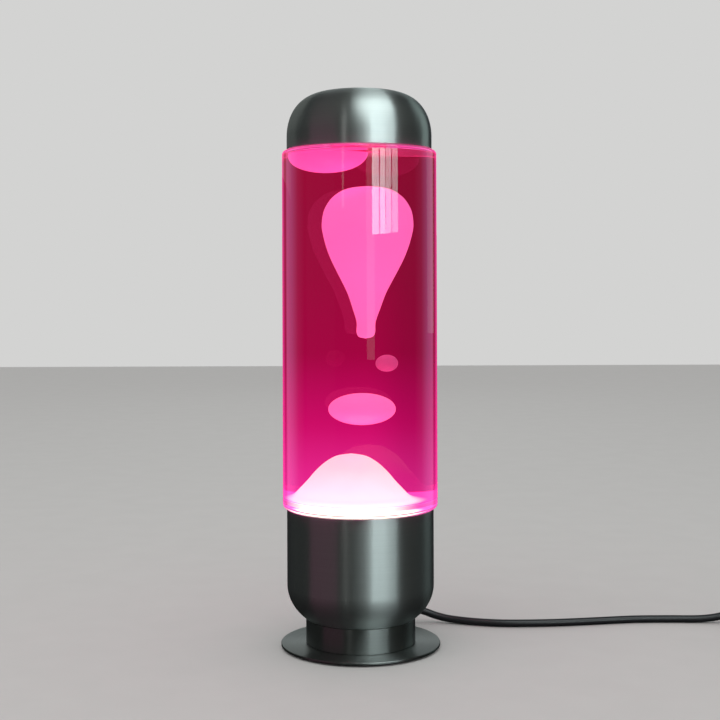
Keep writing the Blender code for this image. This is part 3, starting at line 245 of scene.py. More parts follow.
def makeCord(material):
    line = cordLine()
    curve = bpy.data.curves.new("mainsCord", "CURVE")
    curve.dimensions = "3D"
    curve.bevel_depth = flex["radius"]
    curve.bevel_resolution = 5
    curve.use_fill_caps = True
    spline = curve.splines.new("POLY")
    spline.points.add(len(line) - 1)
    spline.points.foreach_set("co", np.c_[line, np.ones(len(line))].ravel())
    spline.use_smooth = True
    curve.materials.append(material)
    piece = bpy.data.objects.new("mainsCord", curve)
    bpy.context.scene.collection.objects.link(piece)
    print("cord line:", round(float(np.linalg.norm(np.diff(line, axis=0), axis=1).sum()), 3), "m")
    return piece


def roundVector(tree, outScale, upScale, aroundScale):
    # Coordinates of a turned piece: distance out from its axis, height, and place round it
    place = addNode(tree, "TexCoord")
    split = addNode(tree, "SeparateXYZ", {"Vector": place.outputs["Object"]})
    flat = addNode(tree, "CombineXYZ", {"X": split.outputs["X"], "Y": split.outputs["Y"]})
    out = addNode(tree, "VectorMath", {0: flat.outputs[0]}, operation="LENGTH")
    turn = addNode(tree, "Math", {0: split.outputs["Y"], 1: split.outputs["X"]}, operation="ARCTAN2")
    scales = ((out.outputs["Value"], outScale), (split.outputs["Z"], upScale), (turn.outputs[0], aroundScale))
    scaled = [addNode(tree, "Math", {0: value, 1: scale}, operation="MULTIPLY").outputs[0]
              for value, scale in scales]
    return addNode(tree, "CombineXYZ", {"X": scaled[0], "Y": scaled[1], "Z": scaled[2]}).outputs[0]


def varied(tree, shader, factor, low, high, roughness, spread):
    # Colour and roughness drift together between two finishes of the same surface
    tint = addNode(tree, "Mix", {"Factor": factor}, data_type="RGBA")
    tint.inputs[6].default_value = fromHex(low)
    tint.inputs[7].default_value = fromHex(high)
    tree.links.new(tint.outputs[2], shader.inputs["Base Color"])
    rough = addNode(tree, "MapRange", {
        "Value": factor, "From Min": 0.3, "From Max": 0.7,
        "To Min": roughness + spread, "To Max": roughness - spread})
    tree.links.new(rough.outputs["Result"], shader.inputs["Roughness"])


# The foot's two colours are darker than the rest of the aluminium: painted shade on the foot and its collar
spun = {"colour": "#CDD3D1", "shade": "#C2C8C6", "footPaintedShadeColour": "#8E9290", "footPaintedShadeTone": "#868A88",
        "roughness": 0.36, "stretch": 0.95, "grooveMm": 0.7, "grooveDepthMm": 0.002}


def makeSpunAluminium(name, shade, colour):
    # Aluminium sheet spun over a former and brushed as it turned: fine rings draw lights into tall streaks.
    # The real rings are a few hundredths of a millimetre apart, and are drawn coarser so that they show
    made, tree, shader = newMaterial(name, Metallic=1.0, Anisotropic=spun["stretch"])
    shader.inputs["Anisotropic Rotation"].default_value = 0.25
    perMetre = 1000 / spun["grooveMm"]
    rings = addNode(tree, "TexNoise", {
        "Vector": roundVector(tree, perMetre, perMetre, 0.5), "Scale": 1.0, "Detail": 3.0, "Roughness": 0.6})
    varied(tree, shader, rings.outputs["Fac"], shade, colour, spun["roughness"], 0.012)
    bump = addNode(tree, "Bump", {
        "Height": rings.outputs["Fac"], "Strength": 0.5, "Distance": spun["grooveDepthMm"] / 1000})
    tree.links.new(bump.outputs["Normal"], shader.inputs["Normal"])
    tangent = addNode(tree, "Tangent", direction_type="RADIAL", axis="Z")
    tree.links.new(tangent.outputs["Tangent"], shader.inputs["Tangent"])
    return made


def heightRamp(tree, low, high, colours, cloudMm=0.0, cloudShare=0.0):
    # Colours in even steps from one height to another, shifted up and down a little by soft clouds
    place = addNode(tree, "TexCoord")
    split = addNode(tree, "SeparateXYZ", {"Vector": place.outputs["Object"]})
    height = addNode(tree, "MapRange", {"Value": split.outputs["Z"], "From Min": low, "From Max": high})
    level = height.outputs["Result"]
    if cloudMm:
        cloud = addNode(tree, "TexNoise", {
            "Vector": place.outputs["Object"], "Scale": 1000 / cloudMm, "Detail": 2.0})
        centred = addNode(tree, "Math", {0: cloud.outputs["Fac"], 1: 0.5}, operation="SUBTRACT")
        shifted = addNode(tree, "Math", {
            0: centred.outputs[0], 1: cloudShare, 2: level}, operation="MULTIPLY_ADD")
        level = shifted.outputs[0]
    ramp = addNode(tree, "ValToRGB", {"Fac": level})
    stops = ramp.color_ramp.elements
    stops[0].color, stops[1].color = fromHex(colours[0]), fromHex(colours[-1])
    for k, colour in enumerate(colours[1:-1], 1):
        stops.new(k / (len(colours) - 1)).color = fromHex(colour)
    return ramp.outputs["Color"]


# Glow painted on the wall in place of the light it carries to its edges, from face on to edge on: clear, a
# mauve veil, then a pink line
glassEdge = [(0.30, "#000000"), (0.40, "#161422"), (0.52, "#423856"), (0.65, "#704468"), (0.70, "#28162E"),
             (0.735, "#060208"), (0.80, "#8C2864"), (0.87, "#B83A80"), (1.0, "#C83C88")]


def makeGlass():
    # Clear soda-lime glass blown in a mould: sharp reflections, and a pink glow painted at its edges for the
    # light carried there
    made, tree, shader = newMaterial("clearGlass", Roughness=0.0, IOR=1.5)
    shader.inputs["Transmission Weight"].default_value = 1.0
    shader.inputs["Base Color"].default_value = fromHex("#FFFFFF")
    facing = addNode(tree, "LayerWeight", {"Blend": 0.5})
    ramp = addNode(tree, "ValToRGB", {"Fac": facing.outputs["Facing"]})
    stops = ramp.color_ramp.elements
    stops[0].position, stops[0].color = glassEdge[0][0], fromHex(glassEdge[0][1])
    stops[1].position, stops[1].color = glassEdge[-1][0], fromHex(glassEdge[-1][1])
    for place, colour in glassEdge[1:-1]:
        stops.new(place).color = fromHex(colour)
    tree.links.new(ramp.outputs["Color"], shader.inputs["Emission Color"])
    shader.inputs["Emission Strength"].default_value = 1.0
    return made


# Heights run from the floor of the bottle to the top of the liquid
# The liquid's colours are a painted glow, brightest and most violet at the bottom; dimSide lowers the glow at
# +X
liquidLook = {"tint": "#FFB4D0", "glow": 0.50, "ior": 0.913, "dimSide": 0.66,
              "colours": ["#F030A0", "#CC0C6C", "#A00042", "#98003A", "#940036", "#960030"]}


def makeLiquid(low, high):
    # Clear dyed liquid with the light from below painted in as a glow: deep red, more violet towards the
    # bulb. IOR against glass is 1.37 / 1.50
    made, tree, shader = newMaterial("dyedLiquid", Roughness=0.0, IOR=liquidLook["ior"])
    shader.inputs["Transmission Weight"].default_value = 1.0
    shader.inputs["Base Color"].default_value = fromHex(liquidLook["tint"])
    tree.links.new(heightRamp(tree, low, high, liquidLook["colours"]), shader.inputs["Emission Color"])
    # Painted light: the glow is stronger at -X than at +X, as the wax hill leans to -X
    place = addNode(tree, "TexCoord")
    split = addNode(tree, "SeparateXYZ", {"Vector": place.outputs["Object"]})
    side = addNode(tree, "MapRange", {
        "Value": split.outputs["X"], "From Min": 0.002, "From Max": 0.030,
        "To Min": liquidLook["glow"], "To Max": liquidLook["glow"] * liquidLook["dimSide"]},
        interpolation_type="SMOOTHSTEP")
    tree.links.new(side.outputs["Result"], shader.inputs["Emission Strength"])
    return made


def makeWax(name, node, colours, glow=1.0):
    # Melted paraffin wax, smooth and faintly cloudy; the light that comes up through it is painted in as a
    # glow whose colour changes with height
    low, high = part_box(node)
    made, tree, shader = newMaterial(name, Roughness=0.35)
    colour = heightRamp(tree, low.z, high.z, colours, cloudMm=18, cloudShare=0.35)
    tree.links.new(colour, shader.inputs["Emission Color"])
    tree.links.new(colour, shader.inputs["Base Color"])
    shader.inputs["Emission Strength"].default_value = glow
    return made


# Painted glow of the wax hill: near-white colours round brightAt, fading to the pink rim colour between the
# two brightReach distances
hill = {"brightAt": (-0.004, -0.018), "brightReach": (0.031, 0.042), "rim": "#E850A8", "glow": 1.2,
        "colours": ["#FFFBE8", "#FFFAE4", "#FFF2DC", "#FFE6D0", "#FFDCCE"]}


def makeHillWax():
    # The bulb's light through the wax is painted as a near-white glow, centred 4 mm to -X and 18 mm to -Y of
    # the axis; the thin sheet out at the wall stays pink
    made = makeWax("waxHill", "wax_mound", hill["colours"], hill["glow"])
    tree = made.node_tree
    shader = tree.nodes["Principled BSDF"]
    body = shader.inputs["Base Color"].links[0].from_socket
    place = addNode(tree, "TexCoord")
    split = addNode(tree, "SeparateXYZ", {"Vector": place.outputs["Object"]})
    flat = addNode(tree, "CombineXYZ", {"X": split.outputs["X"], "Y": split.outputs["Y"]})
    away = addNode(tree, "VectorMath", {0: flat.outputs[0], 1: (*hill["brightAt"], 0)}, operation="DISTANCE")
    share = addNode(tree, "MapRange", {
        "Value": away.outputs["Value"],
        "From Min": hill["brightReach"][0], "From Max": hill["brightReach"][1]},
        interpolation_type="SMOOTHSTEP")
    mixed = addNode(tree, "Mix", {"Factor": share.outputs["Result"]}, data_type="RGBA")
    tree.links.new(body, mixed.inputs[6])
    mixed.inputs[7].default_value = fromHex(hill["rim"])
    for socket in ("Base Color", "Emission Color"):
        tree.links.new(mixed.outputs[2], shader.inputs[socket])
    return made


def makeMoulded(name, colour, shade, roughness, grainMm, depthMm=0.01):
    # Moulded or extruded plastic and rubber: a fine grain breaks up the sheen
    made, tree, shader = newMaterial(name)
    place = addNode(tree, "TexCoord")
    grain = addNode(tree, "TexNoise", {
        "Vector": place.outputs["Object"], "Scale": 1000 / grainMm, "Detail": 3.0})
    varied(tree, shader, grain.outputs["Fac"], shade, colour, roughness, 0.06)
    bump = addNode(tree, "Bump", {
        "Height": grain.outputs["Fac"], "Strength": 0.3, "Distance": depthMm / 1000})
    tree.links.new(bump.outputs["Normal"], shader.inputs["Normal"])
    return made


def makeMetal(name, colour, shade, roughness, markMm=2.0):
    # Small pressed, turned or plated metal parts: slightly cloudy, with fine handling marks
    made, tree, shader = newMaterial(name, Metallic=1.0)
    place = addNode(tree, "TexCoord")
    marks = addNode(tree, "TexNoise", {
        "Vector": place.outputs["Object"], "Scale": 1000 / markMm, "Detail": 4.0})
    varied(tree, shader, marks.outputs["Fac"], shade, colour, roughness, 0.07)
    return made


def makeBulbGlass():
    # A reflector bulb: silvered inside its neck and flared side, pearl on its lit face
    low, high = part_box("bulb_envelope")
    made, tree, shader = newMaterial("pearlBulbGlass")
    face = heightRamp(tree, high.z - 0.0130, high.z - 0.0080, ["#000000", "#FFFFFF"])
    shader.inputs["Roughness"].default_value = 0.22
    tint = addNode(tree, "Mix", {"Factor": face}, data_type="RGBA")
    tint.inputs[6].default_value = fromHex("#C8C6C0")
    tint.inputs[7].default_value = fromHex("#F4E6C8")
    tree.links.new(tint.outputs[2], shader.inputs["Base Color"])
    silver = addNode(tree, "Math", {0: 1.0, 1: face}, operation="SUBTRACT")
    tree.links.new(silver.outputs[0], shader.inputs["Metallic"])
    shader.inputs["Emission Color"].default_value = fromHex("#FFE2B0")
    strong = addNode(tree, "Math", {0: face, 1: 1.4}, operation="MULTIPLY")
    tree.links.new(strong.outputs[0], shader.inputs["Emission Strength"])
    return made


glassLow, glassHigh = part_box("glass_bottle")
liquidLow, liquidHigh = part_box("liquid")
aluminium = makeSpunAluminium("spunAluminium", spun["shade"], spun["colour"])
# The foot and its collar are the same sheet, given darker colours as painted shade, so they read as a dark
# step under the base
footAluminium = makeSpunAluminium("spunAluminiumFoot", spun["footPaintedShadeTone"], spun["footPaintedShadeColour"])
glass = makeGlass()
liquid = makeLiquid(liquidLow.z, liquidHigh.z)
waxMound = makeHillWax()
# Each wax piece's colours are a painted glow, changing with height
waxLens = makeWax("waxLens", "wax_lens", ["#FA74B6", "#FC84C0"])
waxDroplet = makeWax("waxDroplet", "wax_droplet", ["#B84C84", "#C0588E"], 0.72)
waxBalloon = makeWax("waxBalloon", "wax_balloon", ["#F47CC0", "#FA7AC6", "#FA78C4", "#FA7EC8"])
waxTop = makeWax("waxTop", "wax_top_blob", ["#FA68BC", "#F45CB4"])
pvc = makeMoulded("extrudedPvc", "#26272A", "#1C1D20", 0.36, 0.6)
rubber = makeMoulded("mouldedRubber", "#1E1E20", "#141415", 0.68, 0.5)
phenolic = makeMoulded("mouldedPhenolic", "#1C1816", "#100E0D", 0.28, 0.9)
nylon = makeMoulded("whiteNylon", "#DAD8D0", "#CCC9C0", 0.45, 0.7)
zincSteel = makeMetal("zincPlatedSteel", "#C4C8C6", "#A8ACAC", 0.34)
brass = makeMetal("drawnBrass", "#E0BE78", "#C8A058", 0.26)
tinplate = makeMetal("lacqueredTinplate", "#D2CCB4", "#BCB49C", 0.24)
tungsten = makeMetal("tungstenWire", "#8C8880", "#706C64", 0.4)
pearlBulb = makeBulbGlass()
print("materials ready")


def lay(node, material):
    # A CAD solid whose shape is already right keeps it and takes a finish
    slots = nodes[node].data.materials
    for k in range(len(slots)):
        slots[k] = material
    if not len(slots):
        slots.append(material)


def numbered(stem, count):
    return [f"{stem}_{k}" for k in range(1, count + 1)]


finishes = (
    (rubber, ("foot_pad", "cap_ring", "crown_liner")),
    (zincSteel, ("inner_plate", *numbered("tie_screw", 3), *numbered("tie_nut", 3),
                 *numbered("holder_screw", 2), *numbered("switch_screw", 2), "heating_coil")),
    (brass, ("lampholder_shell", "lampholder_contact", *numbered("switch_terminal", 2),
             "plug_pin_line", "plug_pin_neutral")),
    (phenolic, ("lampholder", "bulb_contact")),
    (nylon, ("terminal_block",)),
    (pvc, ("cord_inner", "lead_line", "lead_neutral")),
    (pearlBulb, ("bulb_stem",)),
    (tungsten, ("bulb_filament",)))
for finish, members in finishes:
    for member in members:
        lay(member, finish)
print("finishes laid on", sum(len(members) for _, members in finishes), "solids")


def ringPiece(name, corners, cuts, material, body, slotName, cadNode, around=144):
    # A turned ring: its section is a closed line of (radius, height) corners, each rounded off
    piece = skin(name, turnGrid(softened(corners, cuts), around), material, loop=True)
    return finishPiece(piece, body, slotName, cadNode)


foot = {"hole": 0.0060, "edge": 0.0005, "collarWall": 0.0012, "collarLip": 0.0005}


def makeFoot():
    low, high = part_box("foot_plate")
    edge = foot["edge"]
    ringPiece("footPlate", [(foot["hole"], low.z), (high.x, low.z), (high.x, high.z), (foot["hole"], high.z)],
              [0.0002, edge, edge, 0.0002], footAluminium, "base", "spun_aluminium", "foot_plate")
    low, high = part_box("foot_collar")
    inner = high.x - foot["collarWall"]
    ringPiece("footCollar", [(inner, low.z), (high.x, low.z), (high.x, high.z), (inner, high.z)],
              [0.0002, 0.0002, foot["collarLip"], 0.0003], footAluminium, "base", "spun_aluminium",
              "foot_collar")


base = {"wall": 0.0012, "roundHeight": 0.0296, "roundPower": 2.5, "hole": 0.0138, "lip": 0.0004,
        "rimDepth": 0.002}


def makeHousing():
    # A straight side over a rounded underside: z = side - height * sqrt(1 - (r / radius) ** power)
    low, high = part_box("base_housing")
    radius, wall, power = high.x, base["wall"], base["roundPower"]
    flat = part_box("foot_collar")[1].x
    side = low.z + base["roundHeight"] * math.sqrt(1 - (flat / radius) ** power)
    outer = domeRows(radius, base["roundHeight"], power, flat, 40)
    inner = domeRows(radius - wall, base["roundHeight"] - wall, power, flat - 0.0009, 24)
    outer[:, 1] = side - outer[:, 1]
    inner[:, 1] = np.maximum(side - inner[:, 1], low.z + wall)
    lip = base["lip"]
    below = high.z - base["rimDepth"]
    rim = softened([(radius, below), (radius, high.z), (radius - wall, high.z), (radius - wall, below)],
                   [0, lip, lip, 0])
    section = np.vstack([[(base["hole"], low.z)], outer[::-1], rim, inner, [(base["hole"], low.z + wall)]])
    piece = skin("baseHousing", turnGrid(section), aluminium, loop=True)
    finishPiece(piece, "base", "spun_aluminium", "base_housing")


seat = {"bore": 0.0360, "thick": 0.0012, "skirt": 0.0110, "gasketWidth": 0.0067}


def makeSeat():
    low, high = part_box("bottle_seat")
    bore, thick, skirt = seat["bore"], seat["thick"], seat["skirt"]
    ringPiece("bottleSeat", [
        (bore, high.z - thick), (high.x - thick, high.z - thick), (high.x - thick, high.z - skirt),
        (high.x, high.z - skirt), (high.x, high.z), (bore, high.z)],
        [0.0003, 0.0006, 0.0002, 0.0002, 0.0009, 0.0003], aluminium, "base", "spun_aluminium", "bottle_seat")
    low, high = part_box("seat_gasket")
    inner = high.x - seat["gasketWidth"]
    ringPiece("seatGasket", [(inner, low.z), (high.x, low.z), (high.x, high.z), (inner, high.z)],
              0.0009, rubber, "base", "black_rubber", "seat_gasket")


cap = {"wall": 0.0012, "skirt": 0.0087, "power": 4.0, "lip": 0.0004, "rimDepth": 0.002}


def makeCap():
    # A straight skirt under a flattened dome, z = rim + height * sqrt(1 - (r / radius) ** 4), hollow inside
    low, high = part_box("top_cap")
    radius, wall, skirt, power = high.x, cap["wall"], cap["skirt"], cap["power"]
    height = high.z - low.z - skirt
    outer = domeRows(radius, height, power, 0.0, 56)
    inner = domeRows(radius - wall, height - wall, power, 0.0, 40)
    outer[:, 1] += low.z + skirt
    inner[:, 1] += low.z + skirt
    lip, above = cap["lip"], low.z + cap["rimDepth"]
    rim = softened([(radius - wall, above), (radius - wall, low.z), (radius, low.z), (radius, above)],
                   [0, lip, lip, 0])
    piece = skin("topCap", turnGrid(np.vstack([inner[::-1], rim, outer])), aluminium)
    finishPiece(piece, "cap", "spun_aluminium", "top_cap")


bottle = {"wall": 0.0025, "corner": 0.0030, "neck": 0.0160, "bore": 0.0125, "lip": 0.0010,
          "neckHeight": 0.0190, "push": 0.0012}


def makeBottle():
    # One clear body: the liquid lies inside it as a second body, and only the neck above the liquid is hollow
    radius, low = glassHigh.x, glassLow.z
    shoulder = glassHigh.z - bottle["neckHeight"]
    neck, lip, bore = bottle["neck"], bottle["lip"], bottle["bore"]
    corners = [
        (0, low + bottle["push"]), (radius * 0.55, low + bottle["push"]), (radius * 0.72, low),
        (radius, low), (radius, shoulder), (neck, shoulder), (neck, glassHigh.z - 0.0055),
        (neck + lip, glassHigh.z - 0.0050), (neck + lip, glassHigh.z), (bore, glassHigh.z),
        (bore, liquidHigh.z), (0, liquidHigh.z)]
    c = bottle["corner"]
    cuts = [0, 0.002, 0.002, c, c, 0.002, 0.0003, 0.0003, 0.0010, 0.0010, 0.0002, 0]
    profile = softened(corners, cuts, steps=9)
    finishPiece(skin("glassBottle", turnGrid(profile, 192), glass), "bottle", "clear_glass", "glass_bottle")
    inside = radius - bottle["wall"]
    ceiling = shoulder - bottle["wall"]
    corners = [(0, liquidLow.z - 0.0003), (inside, liquidLow.z - 0.0003), (inside, ceiling), (bore, ceiling),
               (bore, liquidHigh.z - 0.0002), (0, liquidHigh.z - 0.0002)]
    profile = softened(corners, [0, 0.002, 0.002, 0.0006, 0.0006, 0], steps=9)
    finishPiece(skin("dyedLiquid", turnGrid(profile, 192), liquid), "bottle", "liquid", "liquid")


def waxBody(name, profile, centre, material, body, cadNode, swell=0.0, lean=None):
    # A turned body of wax, swollen a little to two sides: the radius gains swell * cos(2 * angle + height)
    grid = turnGrid(profile, 96)
    radial = grid[..., :2]
    angle = np.arctan2(radial[..., 1], radial[..., 0])
    height = (grid[..., 2] - grid[..., 2].min()) / np.ptp(grid[..., 2])
    grid[..., :2] = radial * (1 + swell * np.cos(2 * angle + 4 * height))[..., None]
    if lean is not None:
        grid[..., 0] += lean(np.linalg.norm(grid[..., :2], axis=-1), height)
    grid[..., :2] += np.array(centre)
    return finishPiece(skin(name, grid, material), body, "wax", cadNode)


def roundRows(halfWidth, halfHeight, middle, steps=40):
    # An ellipsoid's profile from its lowest point to its highest
    angle = np.linspace(-math.pi / 2, math.pi / 2, steps)
    rows = np.stack([halfWidth * np.cos(angle), middle + halfHeight * np.sin(angle)], axis=-1)
    rows[[0, -1], 0] = 0
    return rows


mound = {"radius": 0.0472, "sheet": 0.0026, "lean": -0.0042, "sheetRadius": 0.0440, "leanFade": 0.0120}
balloon = {"slim": 0.975, "lean": -0.0012}
# How the balloon of wax swells: shares of its length, and of its widest radius
balloonShares = [(0, 0), (0.012, 0.15), (0.045, 0.20), (0.11, 0.205), (0.20, 0.30), (0.29, 0.405),
                 (0.37, 0.535), (0.45, 0.675), (0.53, 0.805), (0.61, 0.905), (0.69, 0.975), (0.75, 1.0),
                 (0.83, 0.965), (0.89, 0.87), (0.935, 0.74), (0.97, 0.56), (0.99, 0.34), (1.0, 0)]
# The hill of wax from the wall to its top: radius and height over the floor of the bottle, in metres
moundRows = [(mound["radius"], mound["sheet"]), (0.0360, 0.0027), (0.0305, 0.0034), (0.0272, 0.0052),
             (0.0242, 0.0094), (0.0204, 0.0152), (0.0176, 0.0199), (0.0142, 0.0246), (0.0108, 0.0282),
             (0.0066, 0.0311), (0.0, 0.0326)]


def makeWaxPieces():
    low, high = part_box("wax_mound")
    rise = throughPoints([(r, low.z + z) for r, z in moundRows], 6)
    rise[-1, 0] = 0
    start = softened([(0.0, low.z), (mound["radius"], low.z), (mound["radius"], low.z + mound["sheet"])],
                     [0, 0.002, 0])

    def moundLean(radius, height):
        share = np.clip((mound["sheetRadius"] - radius) / mound["leanFade"], 0, 1)
        return mound["lean"] * share * share * (3 - 2 * share)

    waxBody("waxMound", np.vstack([start[:-1], rise]), (0, 0), waxMound, "bottle", "wax_mound",
            0.0, moundLean)
    for name, node, body, material in (("waxLens", "wax_lens", "lens", waxLens),
                                       ("waxDroplet", "wax_droplet", "droplet", waxDroplet)):
        low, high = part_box(node)
        middle, half = (low + high) / 2, (high - low) / 2
        waxBody(name, roundRows(half.x, half.z, middle.z), (middle.x, 0), material, body, node, 0.012)
    low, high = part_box("wax_balloon")
    shares = throughPoints(balloonShares, 6)
    wide = (high.x - low.x) / 2 * balloon["slim"]
    profile = np.stack([np.maximum(shares[:, 1], 0) * wide,
                        low.z + shares[:, 0] * (high.z - low.z)], axis=-1)
    profile[[0, -1], 0] = 0
    centre = ((low.x + high.x) / 2, 0)
    waxBody("waxBalloon", profile, centre, waxBalloon, "balloon", "wax_balloon", 0.010,
            lambda radius, height: balloon["lean"] * (1 - height) ** 2)
    low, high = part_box("wax_top_blob")
    half = (high.x - low.x) / 2
    profile = roundRows(half, high.z - low.z, high.z, 60)
    profile = np.vstack([profile[profile[:, 1] < high.z], [(half, high.z), (0, high.z)]])
    waxBody("waxTop", profile, ((low.x + high.x) / 2, 0), waxTop, "bottle", "wax_top_blob", 0.012)


crown = {"flutes": 21, "flute": 0.00045, "wall": 0.0006}


def makeCrown():
    # A pressed crown cap: its skirt flares and ripples, radius gains flute * drop * cos(21 * angle)
    low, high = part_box("bottle_crown")
    inner = bottle["neck"] + bottle["lip"] + 0.0003
    wall = crown["wall"]
    skirt = high.x - wall - inner - 0.0002
    corners = [(0, high.z - wall), (inner, high.z - wall), (inner + skirt, low.z),
               (inner + skirt + wall, low.z), (inner + wall, high.z), (0, high.z)]
    profile = softened(corners, [0, 0.0008, 0.0002, 0.0002, 0.0016, 0], steps=8)
    dense = throughPoints(profile, 3)
    dense[[0, -1], 0] = 0
    grid = turnGrid(dense, 252)
    radius = np.linalg.norm(grid[..., :2], axis=-1, keepdims=True)
    angle = np.arctan2(grid[..., 1:2], grid[..., :1])
    drop = np.clip((high.z - 0.0015 - grid[..., 2:]) / (high.z - low.z), 0, 1)
    ripple = 1 + crown["flute"] * drop * np.cos(crown["flutes"] * angle) / np.maximum(radius, 1e-4)
    grid[..., :2] *= ripple
    finishPiece(skin("bottleCrown", grid, tinplate), "bottle", "crown_steel", "bottle_crown")


bulb = {"turns": 4, "threadDepth": 0.00025, "neck": 0.0062, "wall": 0.0008}


def makeBulb():
    # The cap's thread is drawn as rings: radius = outside - depth + depth * cos(share of the height * turns)
    low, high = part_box("bulb_cap")
    radius, depth = high.x, bulb["threadDepth"]
    height = np.linspace(low.z + 0.0018, high.z - 0.0022, 90)
    share = (height - height[0]) / (height[-1] - height[0])
    wave = radius - depth + depth * np.cos(share * bulb["turns"] * 2 * math.pi)
    outer = np.stack([wave, height], axis=-1)
    section = np.vstack([
        [(0.0038, low.z), (radius - 0.0012, low.z)], outer,
        [(radius - 0.0002, high.z), (0.0063, high.z), (0.0054, high.z - 0.0055),
         (0.0054, low.z + 0.0012), (0.0038, low.z + 0.0012)]])
    finishPiece(skin("bulbCap", turnGrid(section, 72), brass, loop=True), "bulb", "brass", "bulb_cap")
    low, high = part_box("bulb_envelope")
    neck, wide, wall = bulb["neck"], high.x, bulb["wall"]
    rows = throughPoints([
        (neck, low.z), (neck, low.z + 0.0050), (neck + 0.0018, low.z + 0.0085),
        (neck + 0.0060, low.z + 0.0170), (neck + 0.0105, high.z - 0.0160),
        (wide - 0.0008, high.z - 0.0110), (wide, high.z - 0.0075),
        (wide - 0.0018, high.z - 0.0035), (wide * 0.72, high.z - 0.0010), (wide * 0.35, high.z - 0.0002),
        (0, high.z)], 6)
    rows[:-1, 0] = np.maximum(rows[:-1, 0], 0.0003)
    rows[-1] = (0, high.z)
    inner = rows[::-1].copy()
    inner[:, 0] -= wall * np.minimum(inner[:, 0] / 0.004, 1)
    inner[:, 1] = np.minimum(inner[:, 1], high.z - wall - (high.z - inner[:, 1]) * 0.9)
    grid = turnGrid(np.vstack([inner, rows]), 96)
    finishPiece(skin("bulbEnvelope", grid, pearlBulb), "bulb", "bulb_glass", "bulb_envelope")


gland = {"nose": 0.0200, "ribs": 5, "rib": 0.0005}


def makeGland():
    # A moulded strain relief: the nose narrows from the collar to the cord, with rings cut round it
    length = gland["nose"]
    share = np.linspace(0.12, 1.0, 120)
    radius = 0.0046 - 0.0013 * share + gland["rib"] * 0.5 * np.cos(share * gland["ribs"] * 2 * math.pi)
    nose = np.stack([radius, share * length], axis=-1)
    profile = np.vstack([
        softened([(0, -0.0031), (0.0048, -0.0031), (0.0048, -0.0018), (0.0040, -0.0018), (0.0040, 0.0006),
                  (0.0056, 0.0006), (0.0056, 0.0022), (0.0046, 0.0022)],
                 [0, 0.0004, 0.0003, 0.0002, 0.0002, 0.0004, 0.0005, 0.0]),
        nose, [(nose[-1, 0] - 0.0004, length + 0.0002), (0, length + 0.0002)]])
    origin = exitPoint(flex["collarRadius"])
    ahead = np.array(exitPoint(1.0, 0.0))
    piece = skin("cordGland", along(turnGrid(profile, 64), origin, ahead), rubber)
    return finishPiece(piece, "base", "black_rubber", "cord_gland")


strap = {"angle": 118.0, "width": 0.0120, "thick": 0.0010, "teeth": 0.00018, "toothCount": 48,
         "reach": (0.0185, 0.0398), "levels": (0.0007, 0.0112)}


def makeTie():
    # A ribbed strap drawn round all the turns: a rounded rectangle, its corners superellipse arcs of power 4
    cx, cy = flex["coilCentre"]
    inner, outer = strap["reach"]
    angle = np.arange(160) * 2 * math.pi / 160
    fold = (np.abs(np.cos(angle)) ** 4 + np.abs(np.sin(angle)) ** 4) ** -0.25
    halfWide = (outer - inner) / 2
    bottom, top = strap["levels"]
    halfHigh = (top - bottom) / 2
    half, thick = strap["width"] / 2, strap["thick"]
    section = softened([(-half, 0), (half, 0), (half, thick), (-half, thick)], 0.0003)
    across, lift = section[:, :1], section[:, 1:]
    teeth = strap["teeth"] * np.cos(angle * strap["toothCount"]) * (lift > thick * 0.5)
    outward = (inner + outer) / 2 + (halfWide + lift + teeth) * fold * np.cos(angle)
    height = (bottom + top) / 2 + (halfHigh - thick + lift + teeth) * fold * np.sin(angle)
    turn = math.radians(strap["angle"])
    grid = np.stack([
        cx + outward * math.cos(turn) - across * math.sin(turn) + 0 * height,
        cy + outward * math.sin(turn) + across * math.cos(turn) + 0 * height,
        np.maximum(height, 0.0001)], axis=-1)
    return finishPiece(skin("cordTie", grid, rubber, loop=True), "base", "black_rubber", "cord_tie")


def ovalRing(halfLength, halfWidth, power, cols=128):
    # A superellipse in polar form: 1 / r ** power = (cos / a) ** power + (sin / b) ** power
    angle = np.arange(cols) * 2 * math.pi / cols
    reach = (np.abs(np.cos(angle) / halfLength) ** power
             + np.abs(np.sin(angle) / halfWidth) ** power) ** (-1 / power)
    return np.stack([reach * np.cos(angle), reach * np.sin(angle)], axis=-1)


def stackedRings(rings, levels):
    return np.stack([np.c_[ring, np.full(len(ring), level)] for ring, level in zip(rings, levels)])


switch = {"power": 2.5, "soft": 0.0024, "window": (0.0084, 0.0054), "recess": 0.0050}


